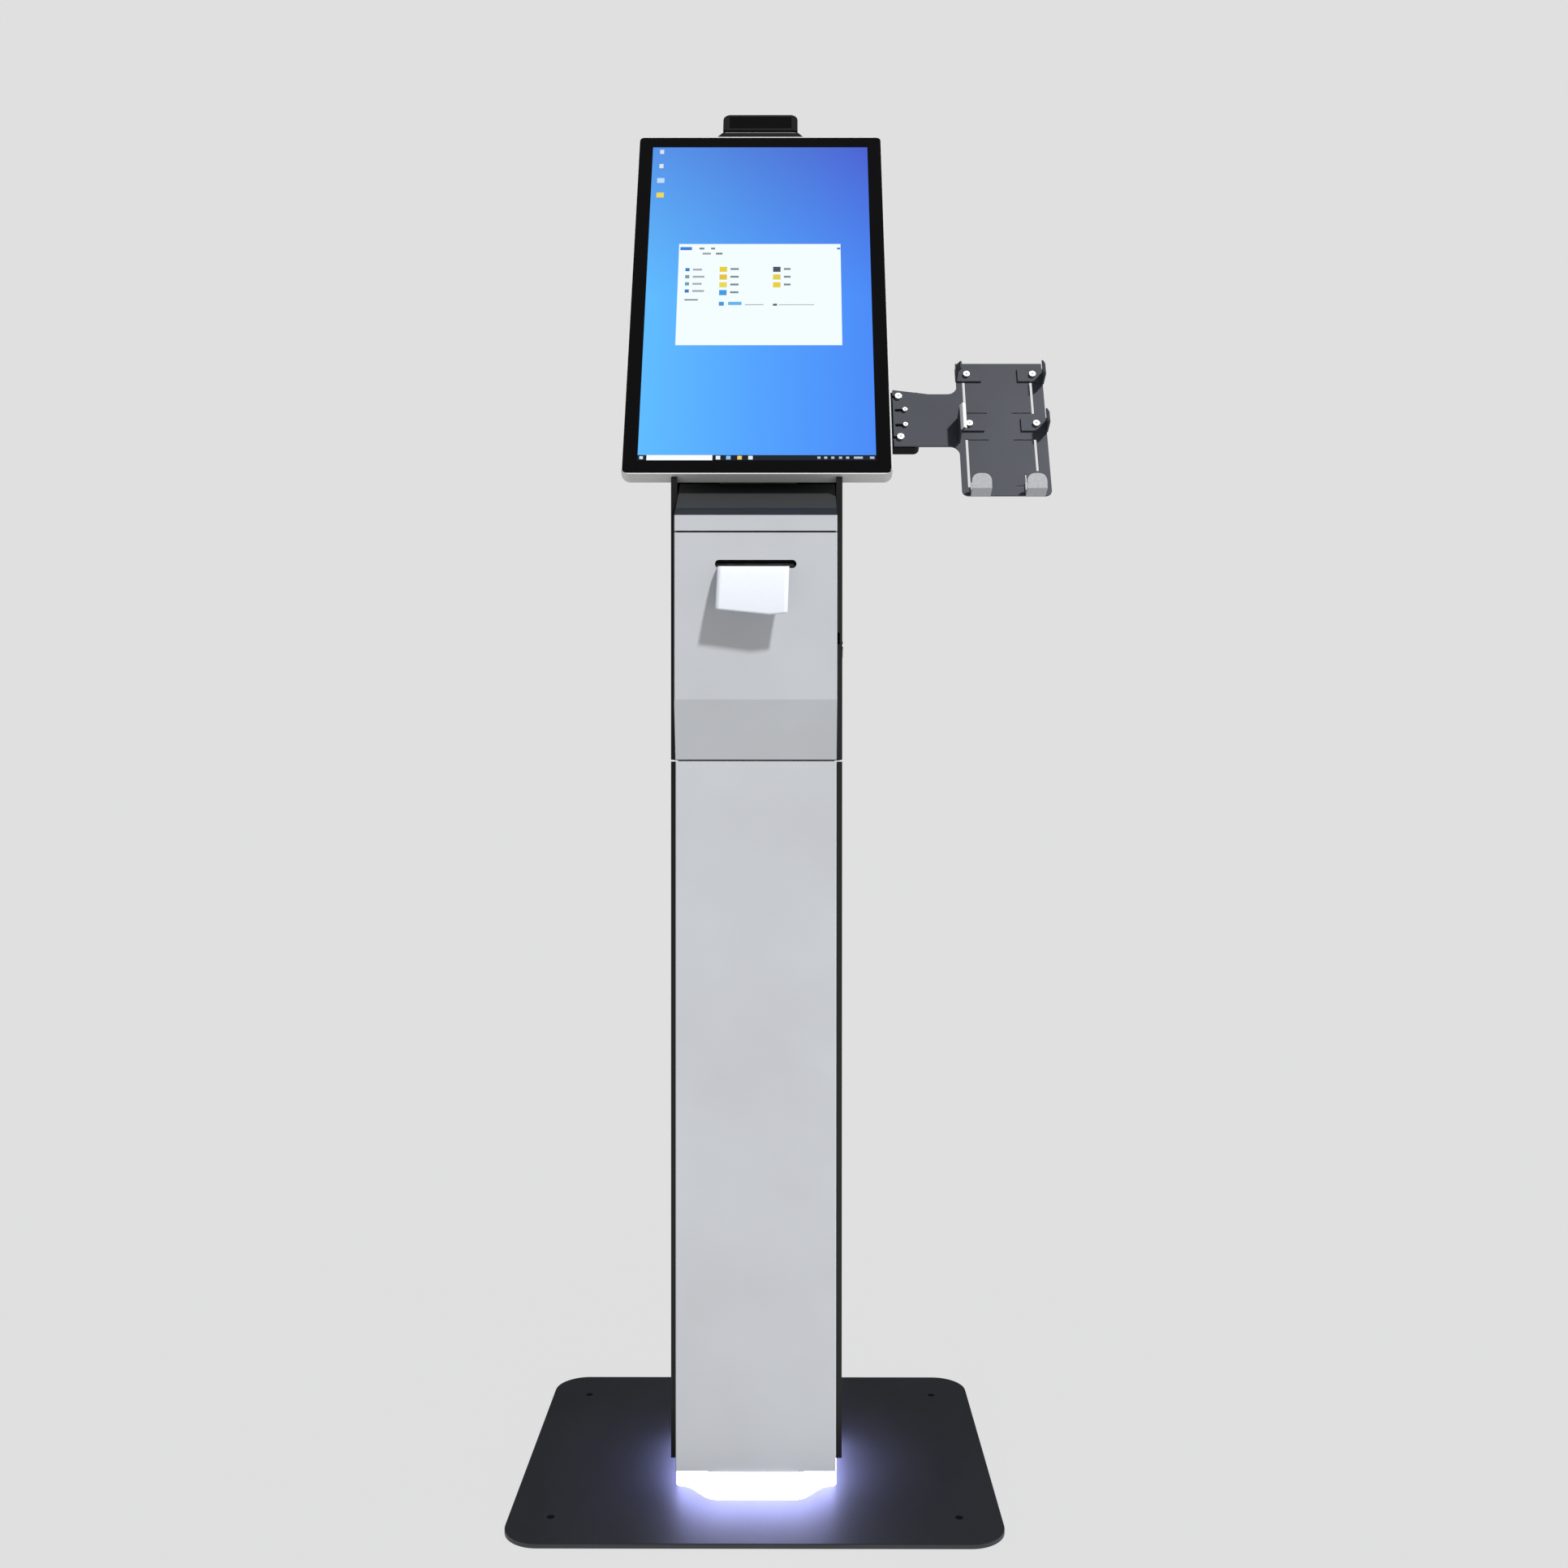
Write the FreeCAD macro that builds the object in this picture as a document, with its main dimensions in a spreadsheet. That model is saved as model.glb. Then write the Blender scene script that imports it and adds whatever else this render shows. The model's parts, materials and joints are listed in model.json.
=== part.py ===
"""Self-service ticket kiosk: a floor plate, a slim column with a printer behind its door, a tilted touch
screen with a camera on top, and a sheet-metal cradle for a card terminal at the screen's side.

Millimetres. +Z is up, -Y is the customer's side, and the origin is the centre of the plate's underside.
The screen and everything fixed to it are drawn square to the glass and then leaned back together:
before the lean X runs along the glass, Y goes into the screen and Z climbs the glass from its lower edge.
"""
import FreeCAD, Part
import os
import re
import Sketcher

Vector = FreeCAD.Vector
Turn = FreeCAD.Rotation

SIZES = {
    # clearances and sheet
    "fit_gap": 0.3,
    "slide_gap": 0.15,
    "running_gap": 0.05,
    # floor plate
    "base_wide": 532,
    "base_deep": 434,
    "base_thick": 5,
    "base_corner": 40,
    "base_edge": 1,
    "anchor_span_wide": 440,
    "anchor_span_deep": 320,
    "anchor_hole_radius": 4.5,
    # lit foot
    "foot_front": -122,
    "foot_flat_wide": 102,
    "foot_shoulder": -90,
    "foot_wide": 180,
    "foot_wall": 3,
    "foot_corner": 7,
    "foot_sweep": 20,
    "foot_step": 13,
    # column covers
    "cover_wide": 177,
    "cover_front": -120,
    "cover_bottom": 35.6,
    "cover_wall": 1.5,
    "shell_wide": 192,
    "shell_front": -87,
    "shell_back": 35,
    "shell_wall": 1.5,
    "lip_overlap": 8.5,
    "lip_edge": "=cover_wide / 2 - lip_overlap",
    "shell_corner": 18,
    "seam_height": 820,
    "seam_gap": 2,
    "bend_round": 1.2,
    # printer door
    "door_front": -140,
    "door_top": 1068,
    "chin_top": 886,
    "strip_top": 1086,
    "neck_rise": 50.8,
    "neck_run": 90,
    # door hinge
    "hinge_side": 1.3,
    "hinge_ahead": 3.5,
    "barrel_radius": 3.2,
    "pin_radius": 1.5,
    "leaf_thick": 1,
    "leaf_wide": 14,
    "hinge_low": 832,
    "knuckle_long": 44,
    # door lock
    "lock_back": 15,
    "lock_height": 945,
    "lock_radius": 8,
    "plug_radius": 5.5,
    "cam_reach": 12,
    "cam_wide": 8,
    "cam_thick": 2,
    # spine
    "spine_wide": 90,
    "spine_deep": 38,
    "spine_wall": 2,
    "flange_wide": 150,
    "flange_deep": 78,
    "flange_thick": 5,
    "bolt_radius": 4,
    "bolt_inset": 12,
    "rib_thick": 2,
    "seam_rib_drop": 22,
    "seam_dark": 16,
    "tongue_gap": 7.5,
    "tongue_half": "=cover_wide / 2 - cover_wall - tongue_gap",
    # screen
    "glass_front": -89.4,
    "glass_bottom": 1142,
    "glass_tilt": 24.9,
    "glass_wide": 301.4,
    "glass_high": 510,
    "glass_thick": 3,
    "glass_round": 5,
    "bezel": 16.65,
    "rim_proud": 1.8,
    "rim_deep": 20,
    "rim_round": 10,
    "back_deep": 46,
    "back_inset": 42,
    "screen_wall": 2,
    "panel_thick": 9,
    "vesa_span": 100,
    "vesa_height": 115,
    "mount_thick": 4,
    "screw_radius": 2,
    # camera
    "camera_wide": 94,
    "camera_high": 27.5,
    "camera_deep": 20,
    "camera_round": 9,
    "camera_foot": 11,
    "hump_wide": 112,
    # terminal cradle
    "arm_front": 4,
    "arm_thick": 2,
    "arm_left": 155,
    "arm_low": 39,
    "arm_high": 118,
    "cradle_left": 229,
    "cradle_right": 329,
    "cradle_low": -28,
    "cradle_high": 156,
    "cradle_corner": 7,
    "cradle_neck": 11,
    "light_slot": 3,
    "dark_slot": 1.4,
    "slot_reach": 26,
    "jaw_long": 30,
    "jaw_high": 18,
    "jaw_thick": 2,
    "jaw_out": 17,
    "jaw_travel": 10,
    "flare_reach": 7,
    "trim_thick": 1.2,
    "block_drop": 1,
    "block_right": 184,
    "arm_travel": 6,
    "hook_wide": 22,
    "hook_out": 13,
    "hook_high": 17.5,
    # printer
    "slot_height": 1033,
    "slot_wide": 88.5,
    "slot_high": 9,
    "mouth_high": 5,
    "paper_wide": 79.5,
    "paper_left": -42.2,
    "paper_thick": 0.3,
    "paper_drop": 46,
    "roll_radius": 34,
    "roll_front_gap": 4.5,
    "roll_foot_gap": 5,
    "roll_top_gap": 17,
    "roll_back": "=door_front + cover_wall + roll_front_gap + roll_radius",
    "roll_height": "=chin_top + roll_foot_gap + roll_radius",
    "core_radius": 8,
    "chassis_wide": 100,
    "chassis_front": -128,
    "chassis_back": -66,
    "chassis_low": "=roll_height + roll_radius + roll_top_gap",
    "chassis_high": 1058,
    "chassis_wall": 2,
    "platen_radius": 6,
    "platen_back": -112,
    "platen_height": 1021,
    "shaft_radius": 2.5,
    "gear_space": 15.2,
    "lid_high": 40,
    # power
    "supply_wide": 86,
    "supply_deep": 42,
    "supply_low": 120,
    "supply_high": 270,
    "inlet_side": 62,
    "inlet_low": 56,
    "inlet_high": 56,
    "rocker_height": 97,
}

doc = FreeCAD.newDocument("ticket_kiosk")
sheet = doc.addObject("Spreadsheet::Sheet", "Sizes")
for row, (alias, value) in enumerate(SIZES.items(), start=1):
    sheet.set("A%d" % row, alias)
    sheet.set("B%d" % row, str(value))
    sheet.setAlias("B%d" % row, alias)
doc.recompute()

NODES = []
ALONG = {"x": Turn(Vector(0, 1, 0), 90), "y": Turn(Vector(1, 0, 0), -90), "z": Turn()}
BASES = ("Placement.Base.x", "Placement.Base.y", "Placement.Base.z")


def rule(text):
    """An expression in which each named size points at its cell in the sheet."""
    return re.sub(r"[a-z_]+", lambda word: "Sizes." * (word.group() in SIZES) + word.group(), str(text))


def drive(item, rules):
    for path, text in rules.items():
        item.setExpression(path, rule(text))
    return item


def node(label, item):
    """Mark a finished piece: its label names its file."""
    item.Label = label
    NODES.append(item)
    return item


def lean(item):
    """Place a piece that was drawn square to the glass. A primitive keeps its own place inside a wrap."""
    if item.TypeId == "Part::Box":
        wrap = doc.addObject("Part::Compound", "wrap")
        wrap.Links = [item]
        item = wrap
    item.Placement = FreeCAD.Placement(Vector(), Turn(Vector(1, 0, 0), -1))
    rules = {BASES[1]: "glass_front", BASES[2]: "glass_bottom", "Placement.Rotation.Angle": "-glass_tilt"}
    return drive(item, rules)


def box(low, size):
    item = doc.addObject("Part::Box", "block")
    drive(item, dict(zip(("Length", "Width", "Height"), size)))
    return drive(item, dict(zip(BASES, low)))


def rod(start, radius, length, axis="z"):
    item = doc.addObject("Part::Cylinder", "rod")
    item.Placement = FreeCAD.Placement(Vector(), ALONG[axis])
    drive(item, {"Radius": radius, "Height": length})
    return drive(item, dict(zip(BASES, start)))


def join(*parts):
    if len(parts) == 1:
        return parts[0]
    item = doc.addObject("Part::MultiFuse", "join")
    item.Shapes = list(parts)
    return item


def cut(base, *tools):
    item = doc.addObject("Part::Cut", "cut")
    item.Base = base
    item.Tool = join(*tools)
    return item


def slot_tool(low, high, thick_low, thick, height, radius):
    """A round-ended slot along X, cut through in Y, from low to high between its end centres."""
    straight = box((low, thick_low, "%s - (%s)" % (height, radius)),
                   ("(%s) - (%s)" % (high, low), thick, "2 * (%s)" % radius))
    ends = [rod((end, thick_low, height), radius, thick, "y") for end in (low, high)]
    return join(straight, *ends)


def new_body(name):
    return doc.addObject("PartDesign::Body", name)


def new_sketch(body, role, offset="0"):
    sketch = body.newObject("Sketcher::SketchObject", "outline")
    plane = [item for item in body.Origin.OriginFeatures if item.Role == role][0]
    sketch.AttachmentSupport = [(plane, "")]
    sketch.MapMode = "FlatFace"
    return drive(sketch, {"AttachmentOffset.Base.z": offset})


def polygon(sketch, points):
    """A closed outline whose corners are held to the sketch's origin by named sizes."""
    count = len(points)
    around = [Turn(Vector(0, 0, 1), 360 * n / count).multVec(Vector(9, 0, 0)) for n in range(count)]
    first = sketch.GeometryCount
    for n in range(count):
        sketch.addGeometry(Part.LineSegment(around[n], around[(n + 1) % count]), False)
    for n in range(count):
        sketch.addConstraint(Sketcher.Constraint("Coincident", first + n, 2, first + (n + 1) % count, 1))
    for n, place in enumerate(points):
        for kind, text in zip(("DistanceX", "DistanceY"), place):
            held = sketch.addConstraint(Sketcher.Constraint(kind, -1, 1, first + n, 1, 1.0))
            sketch.setExpression("Constraints[%d]" % held, rule(text))


def circle(sketch, place, radius):
    drawn = sketch.addGeometry(Part.Circle(Vector(1, 1, 0), Vector(0, 0, 1), 1), False)
    for kind, text in zip(("DistanceX", "DistanceY"), place):
        held = sketch.addConstraint(Sketcher.Constraint(kind, -1, 1, drawn, 3, 1.0))
        sketch.setExpression("Constraints[%d]" % held, rule(text))
    held = sketch.addConstraint(Sketcher.Constraint("Radius", drawn, 1.0))
    sketch.setExpression("Constraints[%d]" % held, rule(radius))


def pad(body, role, points, length, offset="0", midplane=False):
    sketch = new_sketch(body, role, offset)
    polygon(sketch, points)
    feature = body.newObject("PartDesign::Pad", "pad")
    feature.Profile = sketch
    feature.Midplane = midplane
    drive(feature, {"Length": length})
    doc.recompute()
    return feature


def pocket(body, sketch, length, midplane=False):
    """Cut a sketch out of the body, and make sure that material really went."""
    before = body.Tip.Shape.Volume
    feature = body.newObject("PartDesign::Pocket", "pocket")
    feature.Profile = sketch
    feature.Midplane = midplane
    drive(feature, {"Length": length})
    doc.recompute()
    if feature.Shape.Volume > before - 0.01:
        raise ValueError("a pocket in %s cuts nothing" % body.Name)
    return feature


def soften(body, radius, keep):
    """Round the edges of the body's last feature that keep() picks."""
    base = body.Tip
    names = ["Edge%d" % (n + 1) for n, edge in enumerate(base.Shape.Edges) if keep(edge)]
    feature = body.newObject("PartDesign::Fillet", "round")
    feature.Base = (base, names)
    drive(feature, {"Radius": radius})
    doc.recompute()
    return feature


def runs(edge, axis):
    """Whether a straight edge is parallel to an axis."""
    ends = edge.Vertexes
    if len(ends) != 2 or edge.Curve.TypeId != "Part::GeomLine":
        return False
    along = ends[1].Point - ends[0].Point
    return abs(along.normalize().dot(axis)) > 0.999


X_AXIS = Vector(1, 0, 0)
Y_AXIS = Vector(0, 1, 0)
Z_AXIS = Vector(0, 0, 1)


def size(alias):
    return float(sheet.get(alias))


def near(value, goal):
    return abs(value - goal) < 0.05


def rectangle(low_a, low_b, high_a, high_b):
    return [(low_a, low_b), (high_a, low_b), (high_a, high_b), (low_a, high_b)]


# ---------------------------------------------------------------- floor plate and lit foot

SPINE_BACK = "(shell_back - foot_wall - fit_gap)"
SPINE_FRONT = "(shell_back - foot_wall - fit_gap - spine_deep)"


def bolt_places():
    """Centres of the four bolts that hold the spine's flange, as expressions."""
    side = "(flange_wide / 2 - bolt_inset)"
    back = SPINE_BACK + " - bolt_inset"
    front = SPINE_BACK + " - flange_deep + bolt_inset"
    return [(sign + side, place) for sign in ("-", "") for place in (front, back)]


def base_plate():
    body = new_body("plate")
    half = ("base_wide / 2", "base_deep / 2")
    pad(body, "XY_Plane", rectangle("-" + half[0], "-" + half[1], *half), "base_thick")
    soften(body, "base_corner", lambda edge: runs(edge, Z_AXIS))
    top = size("base_thick")
    soften(body, "base_edge", lambda edge: near(edge.BoundBox.ZMin, top) and near(edge.BoundBox.ZMax, top))
    holes = new_sketch(body, "XY_Plane")
    for side in ("-", ""):
        for end in ("-", ""):
            circle(holes, (side + "anchor_span_wide / 2", end + "anchor_span_deep / 2"),
                   "anchor_hole_radius")
    for place in bolt_places():
        circle(holes, place, "bolt_radius + slide_gap")
    pocket(body, holes, "base_thick * 3", midplane=True)
    return node("base_plate", body)


def foot_outline(inset):
    """Plan of the lit foot, inset by a wall: straight sides, a short step in and a sweep out to the nose."""
    nose = "foot_flat_wide / 2 - %s * 0.35" % inset
    side = "foot_wide / 2 - %s" % inset
    back = "shell_back - %s" % inset
    shoulder = "foot_shoulder + %s" % inset
    step = "foot_wide / 2 - foot_step - %s * 0.6" % inset
    half = [(side, back), (side, shoulder), (step, shoulder), (nose, "foot_front + %s" % inset)]
    return half + [("-(%s)" % across, along) for across, along in reversed(half)]


def foot_block(name, inset, corner, low, high):
    body = new_body(name)
    pad(body, "XY_Plane", foot_outline(inset), "(%s) - (%s)" % (high, low), low)
    soften(body, corner, lambda edge: runs(edge, Z_AXIS)
           and abs(edge.BoundBox.XMin) > size("foot_wide") / 2 - size("foot_wall") - 1)
    soften(body, "foot_sweep", lambda edge: runs(edge, Z_AXIS)
           and abs(edge.BoundBox.XMin) < size("foot_wide") / 2 - size("foot_step") + 1)
    return body


def led_diffuser():
    high = "cover_bottom - fit_gap"
    outer = foot_block("diffuser", "0", "foot_corner", "base_thick", high)
    inner = foot_block("diffuser_room", "foot_wall", "foot_corner - foot_wall", "base_thick - 1",
                       high + " + 1")
    return node("led_diffuser", cut(outer, inner))


def led_strips():
    """Three upright LED strips just inside the diffuser."""
    high = "cover_bottom - base_thick - 12"
    low = "base_thick + fit_gap"
    front = box(("-foot_flat_wide / 2", "foot_front + foot_wall + 4", low), ("foot_flat_wide", "1.6", high))
    sides = [box((place, "foot_shoulder + 10", low), ("1.6", "80", high))
             for place in ("-foot_wide / 2 + foot_wall + 4", "foot_wide / 2 - foot_wall - 5.6")]
    return node("led_strips", join(front, *sides))


# ---------------------------------------------------------------- column

def channel(name, half_wide, front, back, wall, low, high):
    """A sheet folded to a channel that is open at the back."""
    body = new_body(name)
    inner = "%s - %s" % (half_wide, wall)
    points = [("-(%s)" % half_wide, back), ("-(%s)" % half_wide, front), (half_wide, front),
              (half_wide, back),
              (inner, back), (inner, "%s + %s" % (front, wall)),
              ("-(%s)" % inner, "%s + %s" % (front, wall)), ("-(%s)" % inner, back)]
    pad(body, "XY_Plane", points, "(%s) - (%s)" % (high, low), low)
    face = size(front)
    soften(body, "bend_round", lambda edge: runs(edge, Z_AXIS) and near(edge.BoundBox.YMin, face))
    return body


def rear_shell(name, low, high):
    """The black rear skin: a C section with lips turned in at its front."""
    body = new_body(name)
    half = "shell_wide / 2"
    inner = "shell_wide / 2 - shell_wall"
    lip = "lip_edge"
    front = "shell_front"
    step = "shell_front + shell_wall"
    right = [(lip, front), (half, front), (half, "shell_back")]
    left = [("-(%s)" % half, "shell_back"), ("-(%s)" % half, front), ("-(%s)" % lip, front),
            ("-(%s)" % lip, step)]
    inside = [("-(%s)" % inner, step), ("-(%s)" % inner, "shell_back - shell_wall"),
              (inner, "shell_back - shell_wall"), (inner, step), (lip, step)]
    pad(body, "XY_Plane", right + left + inside, "(%s) - (%s)" % (high, low), low)
    back = size("shell_back")
    wall = size("shell_wall")
    soften(body, "shell_corner", lambda edge: runs(edge, Z_AXIS) and near(edge.BoundBox.YMax, back))
    soften(body, "shell_corner - shell_wall",
           lambda edge: runs(edge, Z_AXIS) and near(edge.BoundBox.YMax, back - wall))
    return body


def lower_front_cover():
    return node("lower_front_cover", channel("low_cover", "cover_wide / 2", "cover_front",
                                             "shell_front - fit_gap", "cover_wall", "cover_bottom",
                                             "seam_height - seam_gap / 2"))


NECK_AT_LIP = "(strip_top + fit_gap + (shell_front - door_front - 1) * neck_rise / neck_run)"
INLET_HOLE = (("inlet_side - 14", "shell_back - 10", "inlet_low + 3"), ("28", "20", "inlet_high - 6"))


def lower_rear_shell():
    shell = rear_shell("low_shell", "cover_bottom", "seam_height - seam_gap / 2")
    vents = [box(("-30 + %d" % (12 * n), "shell_back - 5", "700"), ("4", "10", "50")) for n in range(6)]
    return node("lower_rear_shell", cut(shell, box(*INLET_HOLE), *vents))


def upper_rear_shell():
    shell = rear_shell("high_shell", "seam_height + seam_gap / 2", "glass_bottom + 220")
    clear = lean(box(("-shell_wide", "-200", "-rim_proud - 1.2"),
                     ("2 * shell_wide", "200 + back_deep + 1", "700")))
    lock_hole = rod(("shell_wide / 2 - 5", "shell_front + lock_back", "lock_height"),
                    "lock_radius + slide_gap", "10", "x")
    gate = box(("lip_edge - 1", "shell_front - 1", "lock_height + 5.5"),
               ("shell_wide / 2 - lip_edge - 2", "shell_wall + 2", "13"))
    vents = [box(("-30 + %d" % (12 * n), "shell_back - 5", "1120"), ("4", "10", "60")) for n in range(6)]
    neck_way = box(("-cover_wide / 2 - 0.5", "shell_front - 1", NECK_AT_LIP + " - 4"),
                   ("cover_wide + 1", "shell_wall + 2", "glass_bottom"))
    return node("upper_rear_shell", cut(shell, clear, lock_hole, gate, neck_way, *vents))


def spine():
    front = SPINE_FRONT
    tall = "glass_bottom + 200 - base_thick"
    outer = box(("-spine_wide / 2", front, "base_thick"), ("spine_wide", "spine_deep", tall))
    inner = box(("-spine_wide / 2 + spine_wall", front + " + spine_wall", "0"),
                ("spine_wide - 2 * spine_wall", "spine_deep - 2 * spine_wall", "glass_bottom + 300"))
    above = lean(box(("-200", "-300", "-300"),
                     ("400", "300 + back_deep + mount_thick + 2 * fit_gap", "900")))
    tube = cut(outer, inner, above)
    plate = box(("-flange_wide / 2", SPINE_BACK + " - flange_deep", "base_thick"),
                ("flange_wide", "flange_deep", "flange_thick"))
    bores = [rod(place + ("0",), "bolt_radius + slide_gap", "40") for place in bolt_places()]
    flange = cut(plate, box(("-spine_wide / 2 + spine_wall", front + " + spine_wall", "0"),
                            ("spine_wide - 2 * spine_wall", "spine_deep - 2 * spine_wall", "40")), *bores)
    cable_hole = box(("-15", front + " - 5", "supply_high + 20"), ("30", "12", "50"))
    low_hole = box(("-15", front + " - 5", "45"), ("30", "12", "50"))
    return node("column_spine", cut(join(tube, flange), cable_hole, low_hole))


def spine_bolts():
    bolts = []
    for across, along in bolt_places():
        head = doc.addObject("Part::Prism", "head")
        head.Polygon = 6
        top = "base_thick + flange_thick"
        drive(head, dict(zip(BASES, (across, along, top))))
        drive(head, {"Circumradius": "bolt_radius * 1.85", "Height": "bolt_radius * 1.3"})
        bolts.append(join(head, rod((across, along, "0.5"), "bolt_radius", top + " - 0.5 + 1")))
    return node("spine_bolts", join(*bolts))


def rib(low, front, tongue):
    """A flat shelf round the spine that carries the skins, with a tongue to the front cover."""
    inside = "shell_wide / 2 - shell_wall - slide_gap"
    rear = "shell_back - shell_wall - slide_gap"
    corner = "shell_corner"
    shelf = box(("-(%s)" % inside, front, low),
                ("2 * (%s)" % inside, "%s - %s - (%s)" % (rear, corner, front), "rib_thick"))
    heel = box(("-(%s) + %s" % (inside, corner), front, low),
               ("2 * (%s - %s)" % (inside, corner), "%s - (%s)" % (rear, front), "rib_thick"))
    reach = box(("-tongue_half", tongue, low),
                ("2 * tongue_half", "%s - (%s) + 1" % (front, tongue), "rib_thick"))
    spine_hole = box(("-spine_wide / 2 - slide_gap", SPINE_FRONT + " - slide_gap", low + " - 1"),
                     ("spine_wide + 2 * slide_gap", "spine_deep + 20", "rib_thick + 2"))
    cable_way = box(("shell_wide / 2 - 38", "-70", low + " - 1"), ("20", "40", "rib_thick + 2"))
    return cut(join(shelf, heel, reach), spine_hole, cable_way)


def shell_ribs():
    deep = "shell_front + shell_wall + slide_gap"
    cover_inside = "cover_front + cover_wall + slide_gap"
    low_ribs = [rib(low, deep, cover_inside)
                for low in ("cover_bottom + 6", "420", "seam_height - seam_rib_drop")]
    inside_half = "(cover_wide / 2 - cover_wall - slide_gap)"
    seam_screen = box(("-" + inside_half, "cover_front + seam_dark", "seam_height - seam_rib_drop"),
                      ("2 * " + inside_half, "rib_thick", "seam_rib_drop + seam_gap / 2 - fit_gap"))
    mid_rib = rib("seam_height + 8", "-42", "-43")
    top_rib = rib("door_top + 4", deep, "door_front + cover_wall + slide_gap")
    return node("shell_ribs", join(*low_ribs, seam_screen, mid_rib, top_rib))


def neck_cover():
    strip = channel("neck", "cover_wide / 2", "door_front", "shell_front - fit_gap", "cover_wall",
                    "door_top + seam_gap / 2", "strip_top")
    lid = box(("-cover_wide / 2 + 1", "door_front + 1", "strip_top - cover_wall"),
              ("cover_wide - 2", "shell_front - fit_gap - door_front - 1", "cover_wall"))
    return node("neck_cover", join(strip, lid))


def neck_panel():
    """The sloped dark panel between the white strip and the underside of the screen."""
    body = new_body("slope")
    start = ("door_front + 1", "strip_top + fit_gap")
    end = ("door_front + 1 + neck_run", "strip_top + fit_gap + neck_rise")
    sheet_points = [start, end, (end[0], end[1] + " - 2"), (start[0] + " + 3", start[1])]
    pad(body, "YZ_Plane", sheet_points, "cover_wide - 0.4", midplane=True)
    wedge = new_body("wedge")
    run = "(shell_front - fit_gap - door_front - 1)"
    rise = run + " * neck_rise / neck_run"
    back = "shell_front - fit_gap"
    pad(wedge, "YZ_Plane", [start, (back, start[1] + " + " + rise), (back, start[1])], "cover_wide - 0.4",
        midplane=True)
    hollow = new_sketch(wedge, "YZ_Plane")
    polygon(hollow,
            [(start[0] + " + 5", start[1] + " - 1"),
             ("shell_front + 5", start[1] + " + %s - 2 + 3.2" % rise),
                     ("shell_front + 5", start[1] + " - 1")])
    pocket(wedge, hollow, "cover_wide - 4", midplane=True)
    return node("neck_panel", join(body, wedge))


# ---------------------------------------------------------------- printer door, hinge and lock

HINGE_X = "(-cover_wide / 2 - hinge_side)"
HINGE_Y = "(shell_front - hinge_ahead)"
LOCK_Y = "(shell_front + lock_back)"


def printer_door():
    body = new_body("door")
    low = "seam_height + seam_gap / 2"
    high = "door_top - seam_gap / 2"
    back = "shell_front - fit_gap"
    side = [("door_front", "chin_top"), ("door_front", high), (back, high), (back, low),
            ("cover_front", low)]
    pad(body, "YZ_Plane", side, "cover_wide", midplane=True)
    face = size("door_front")
    soften(body, "bend_round", lambda edge: runs(edge, Z_AXIS) and near(edge.BoundBox.YMin, face))
    hollow = new_sketch(body, "YZ_Plane")
    wall = " + cover_wall"
    polygon(hollow, [("door_front" + wall, "chin_top + 0.3"), ("door_front" + wall, high + " - cover_wall"),
                     (back + " + 9", high + " - cover_wall"), (back + " + 9", low + wall),
                     ("cover_front + cover_wall * 0.8", low + wall)])
    pocket(body, hollow, "cover_wide - 2 * cover_wall", midplane=True)
    lip = box(("cover_wide / 2 - 12", back + " - cover_wall", low),
              ("12 - 0.2", "cover_wall", "(%s) - (%s)" % (high, low)))
    tab_x = "(cover_wide / 2 - 4.5)"
    foot_y = "(shell_front + lock_back + plug_radius + 1.2)"
    tab = box((tab_x, back + " - 0.5", "lock_height + 7"),
              ("cover_wall", foot_y + " - (shell_front) + 1.5", "9"))
    foot = box((tab_x, foot_y, "lock_height + 7"), ("6", "cover_wall", "9"))
    slot = slot_tool("-(slot_wide - slot_high) / 2", "(slot_wide - slot_high) / 2", "door_front - 5", "10",
                     "slot_height", "slot_high / 2")
    hinge_room = box(("-cover_wide / 2 - 1", "%s - barrel_radius - 0.4" % HINGE_Y, low + " - 1"),
                     ("6", "20", "(%s) - (%s) + 2" % (high, low)))
    return node("printer_door", cut(join(body, lip, tab, foot), slot, hinge_room))


def knuckles(odd):
    """The knuckles of one hinge leaf, drilled for the pin. The other leaf has those in between."""
    step = "knuckle_long"
    parts = [rod((HINGE_X, HINGE_Y, "hinge_low + %d * %s + 0.2" % (n, step)), "barrel_radius",
                 step + " - 0.4")
             for n in range(5) if n % 2 == odd]
    return parts


def pin_bore():
    return rod((HINGE_X, HINGE_Y, "hinge_low - 1"), "pin_radius + running_gap", "5 * knuckle_long + 2")


def hinge_fixed_leaf():
    high = "5 * knuckle_long"
    plate = box((HINGE_X, "shell_front - 0.1 - leaf_thick", "hinge_low"), ("leaf_wide", "leaf_thick", high))
    room = [rod((HINGE_X, HINGE_Y, "hinge_low + %d * knuckle_long - 0.2" % n), "barrel_radius + 0.5",
                "knuckle_long + 0.4")
            for n in (1, 3)]
    return node("hinge_fixed_leaf", cut(join(plate, *knuckles(0)), pin_bore(), *room))


def hinge_moving_leaf():
    high = "3 * knuckle_long"
    inner = "-cover_wide / 2 + cover_wall"
    plate = box((inner, HINGE_Y + " - leaf_wide - 4", "hinge_low + knuckle_long"),
                ("leaf_thick", "leaf_wide + 4", high))
    room = [rod((HINGE_X, HINGE_Y, "hinge_low + %d * knuckle_long - 0.2" % n), "barrel_radius + 0.5",
                "knuckle_long + 0.4")
            for n in (0, 2, 4)]
    return node("hinge_moving_leaf", cut(join(cut(plate, *room), *knuckles(1)), pin_bore()))


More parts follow.
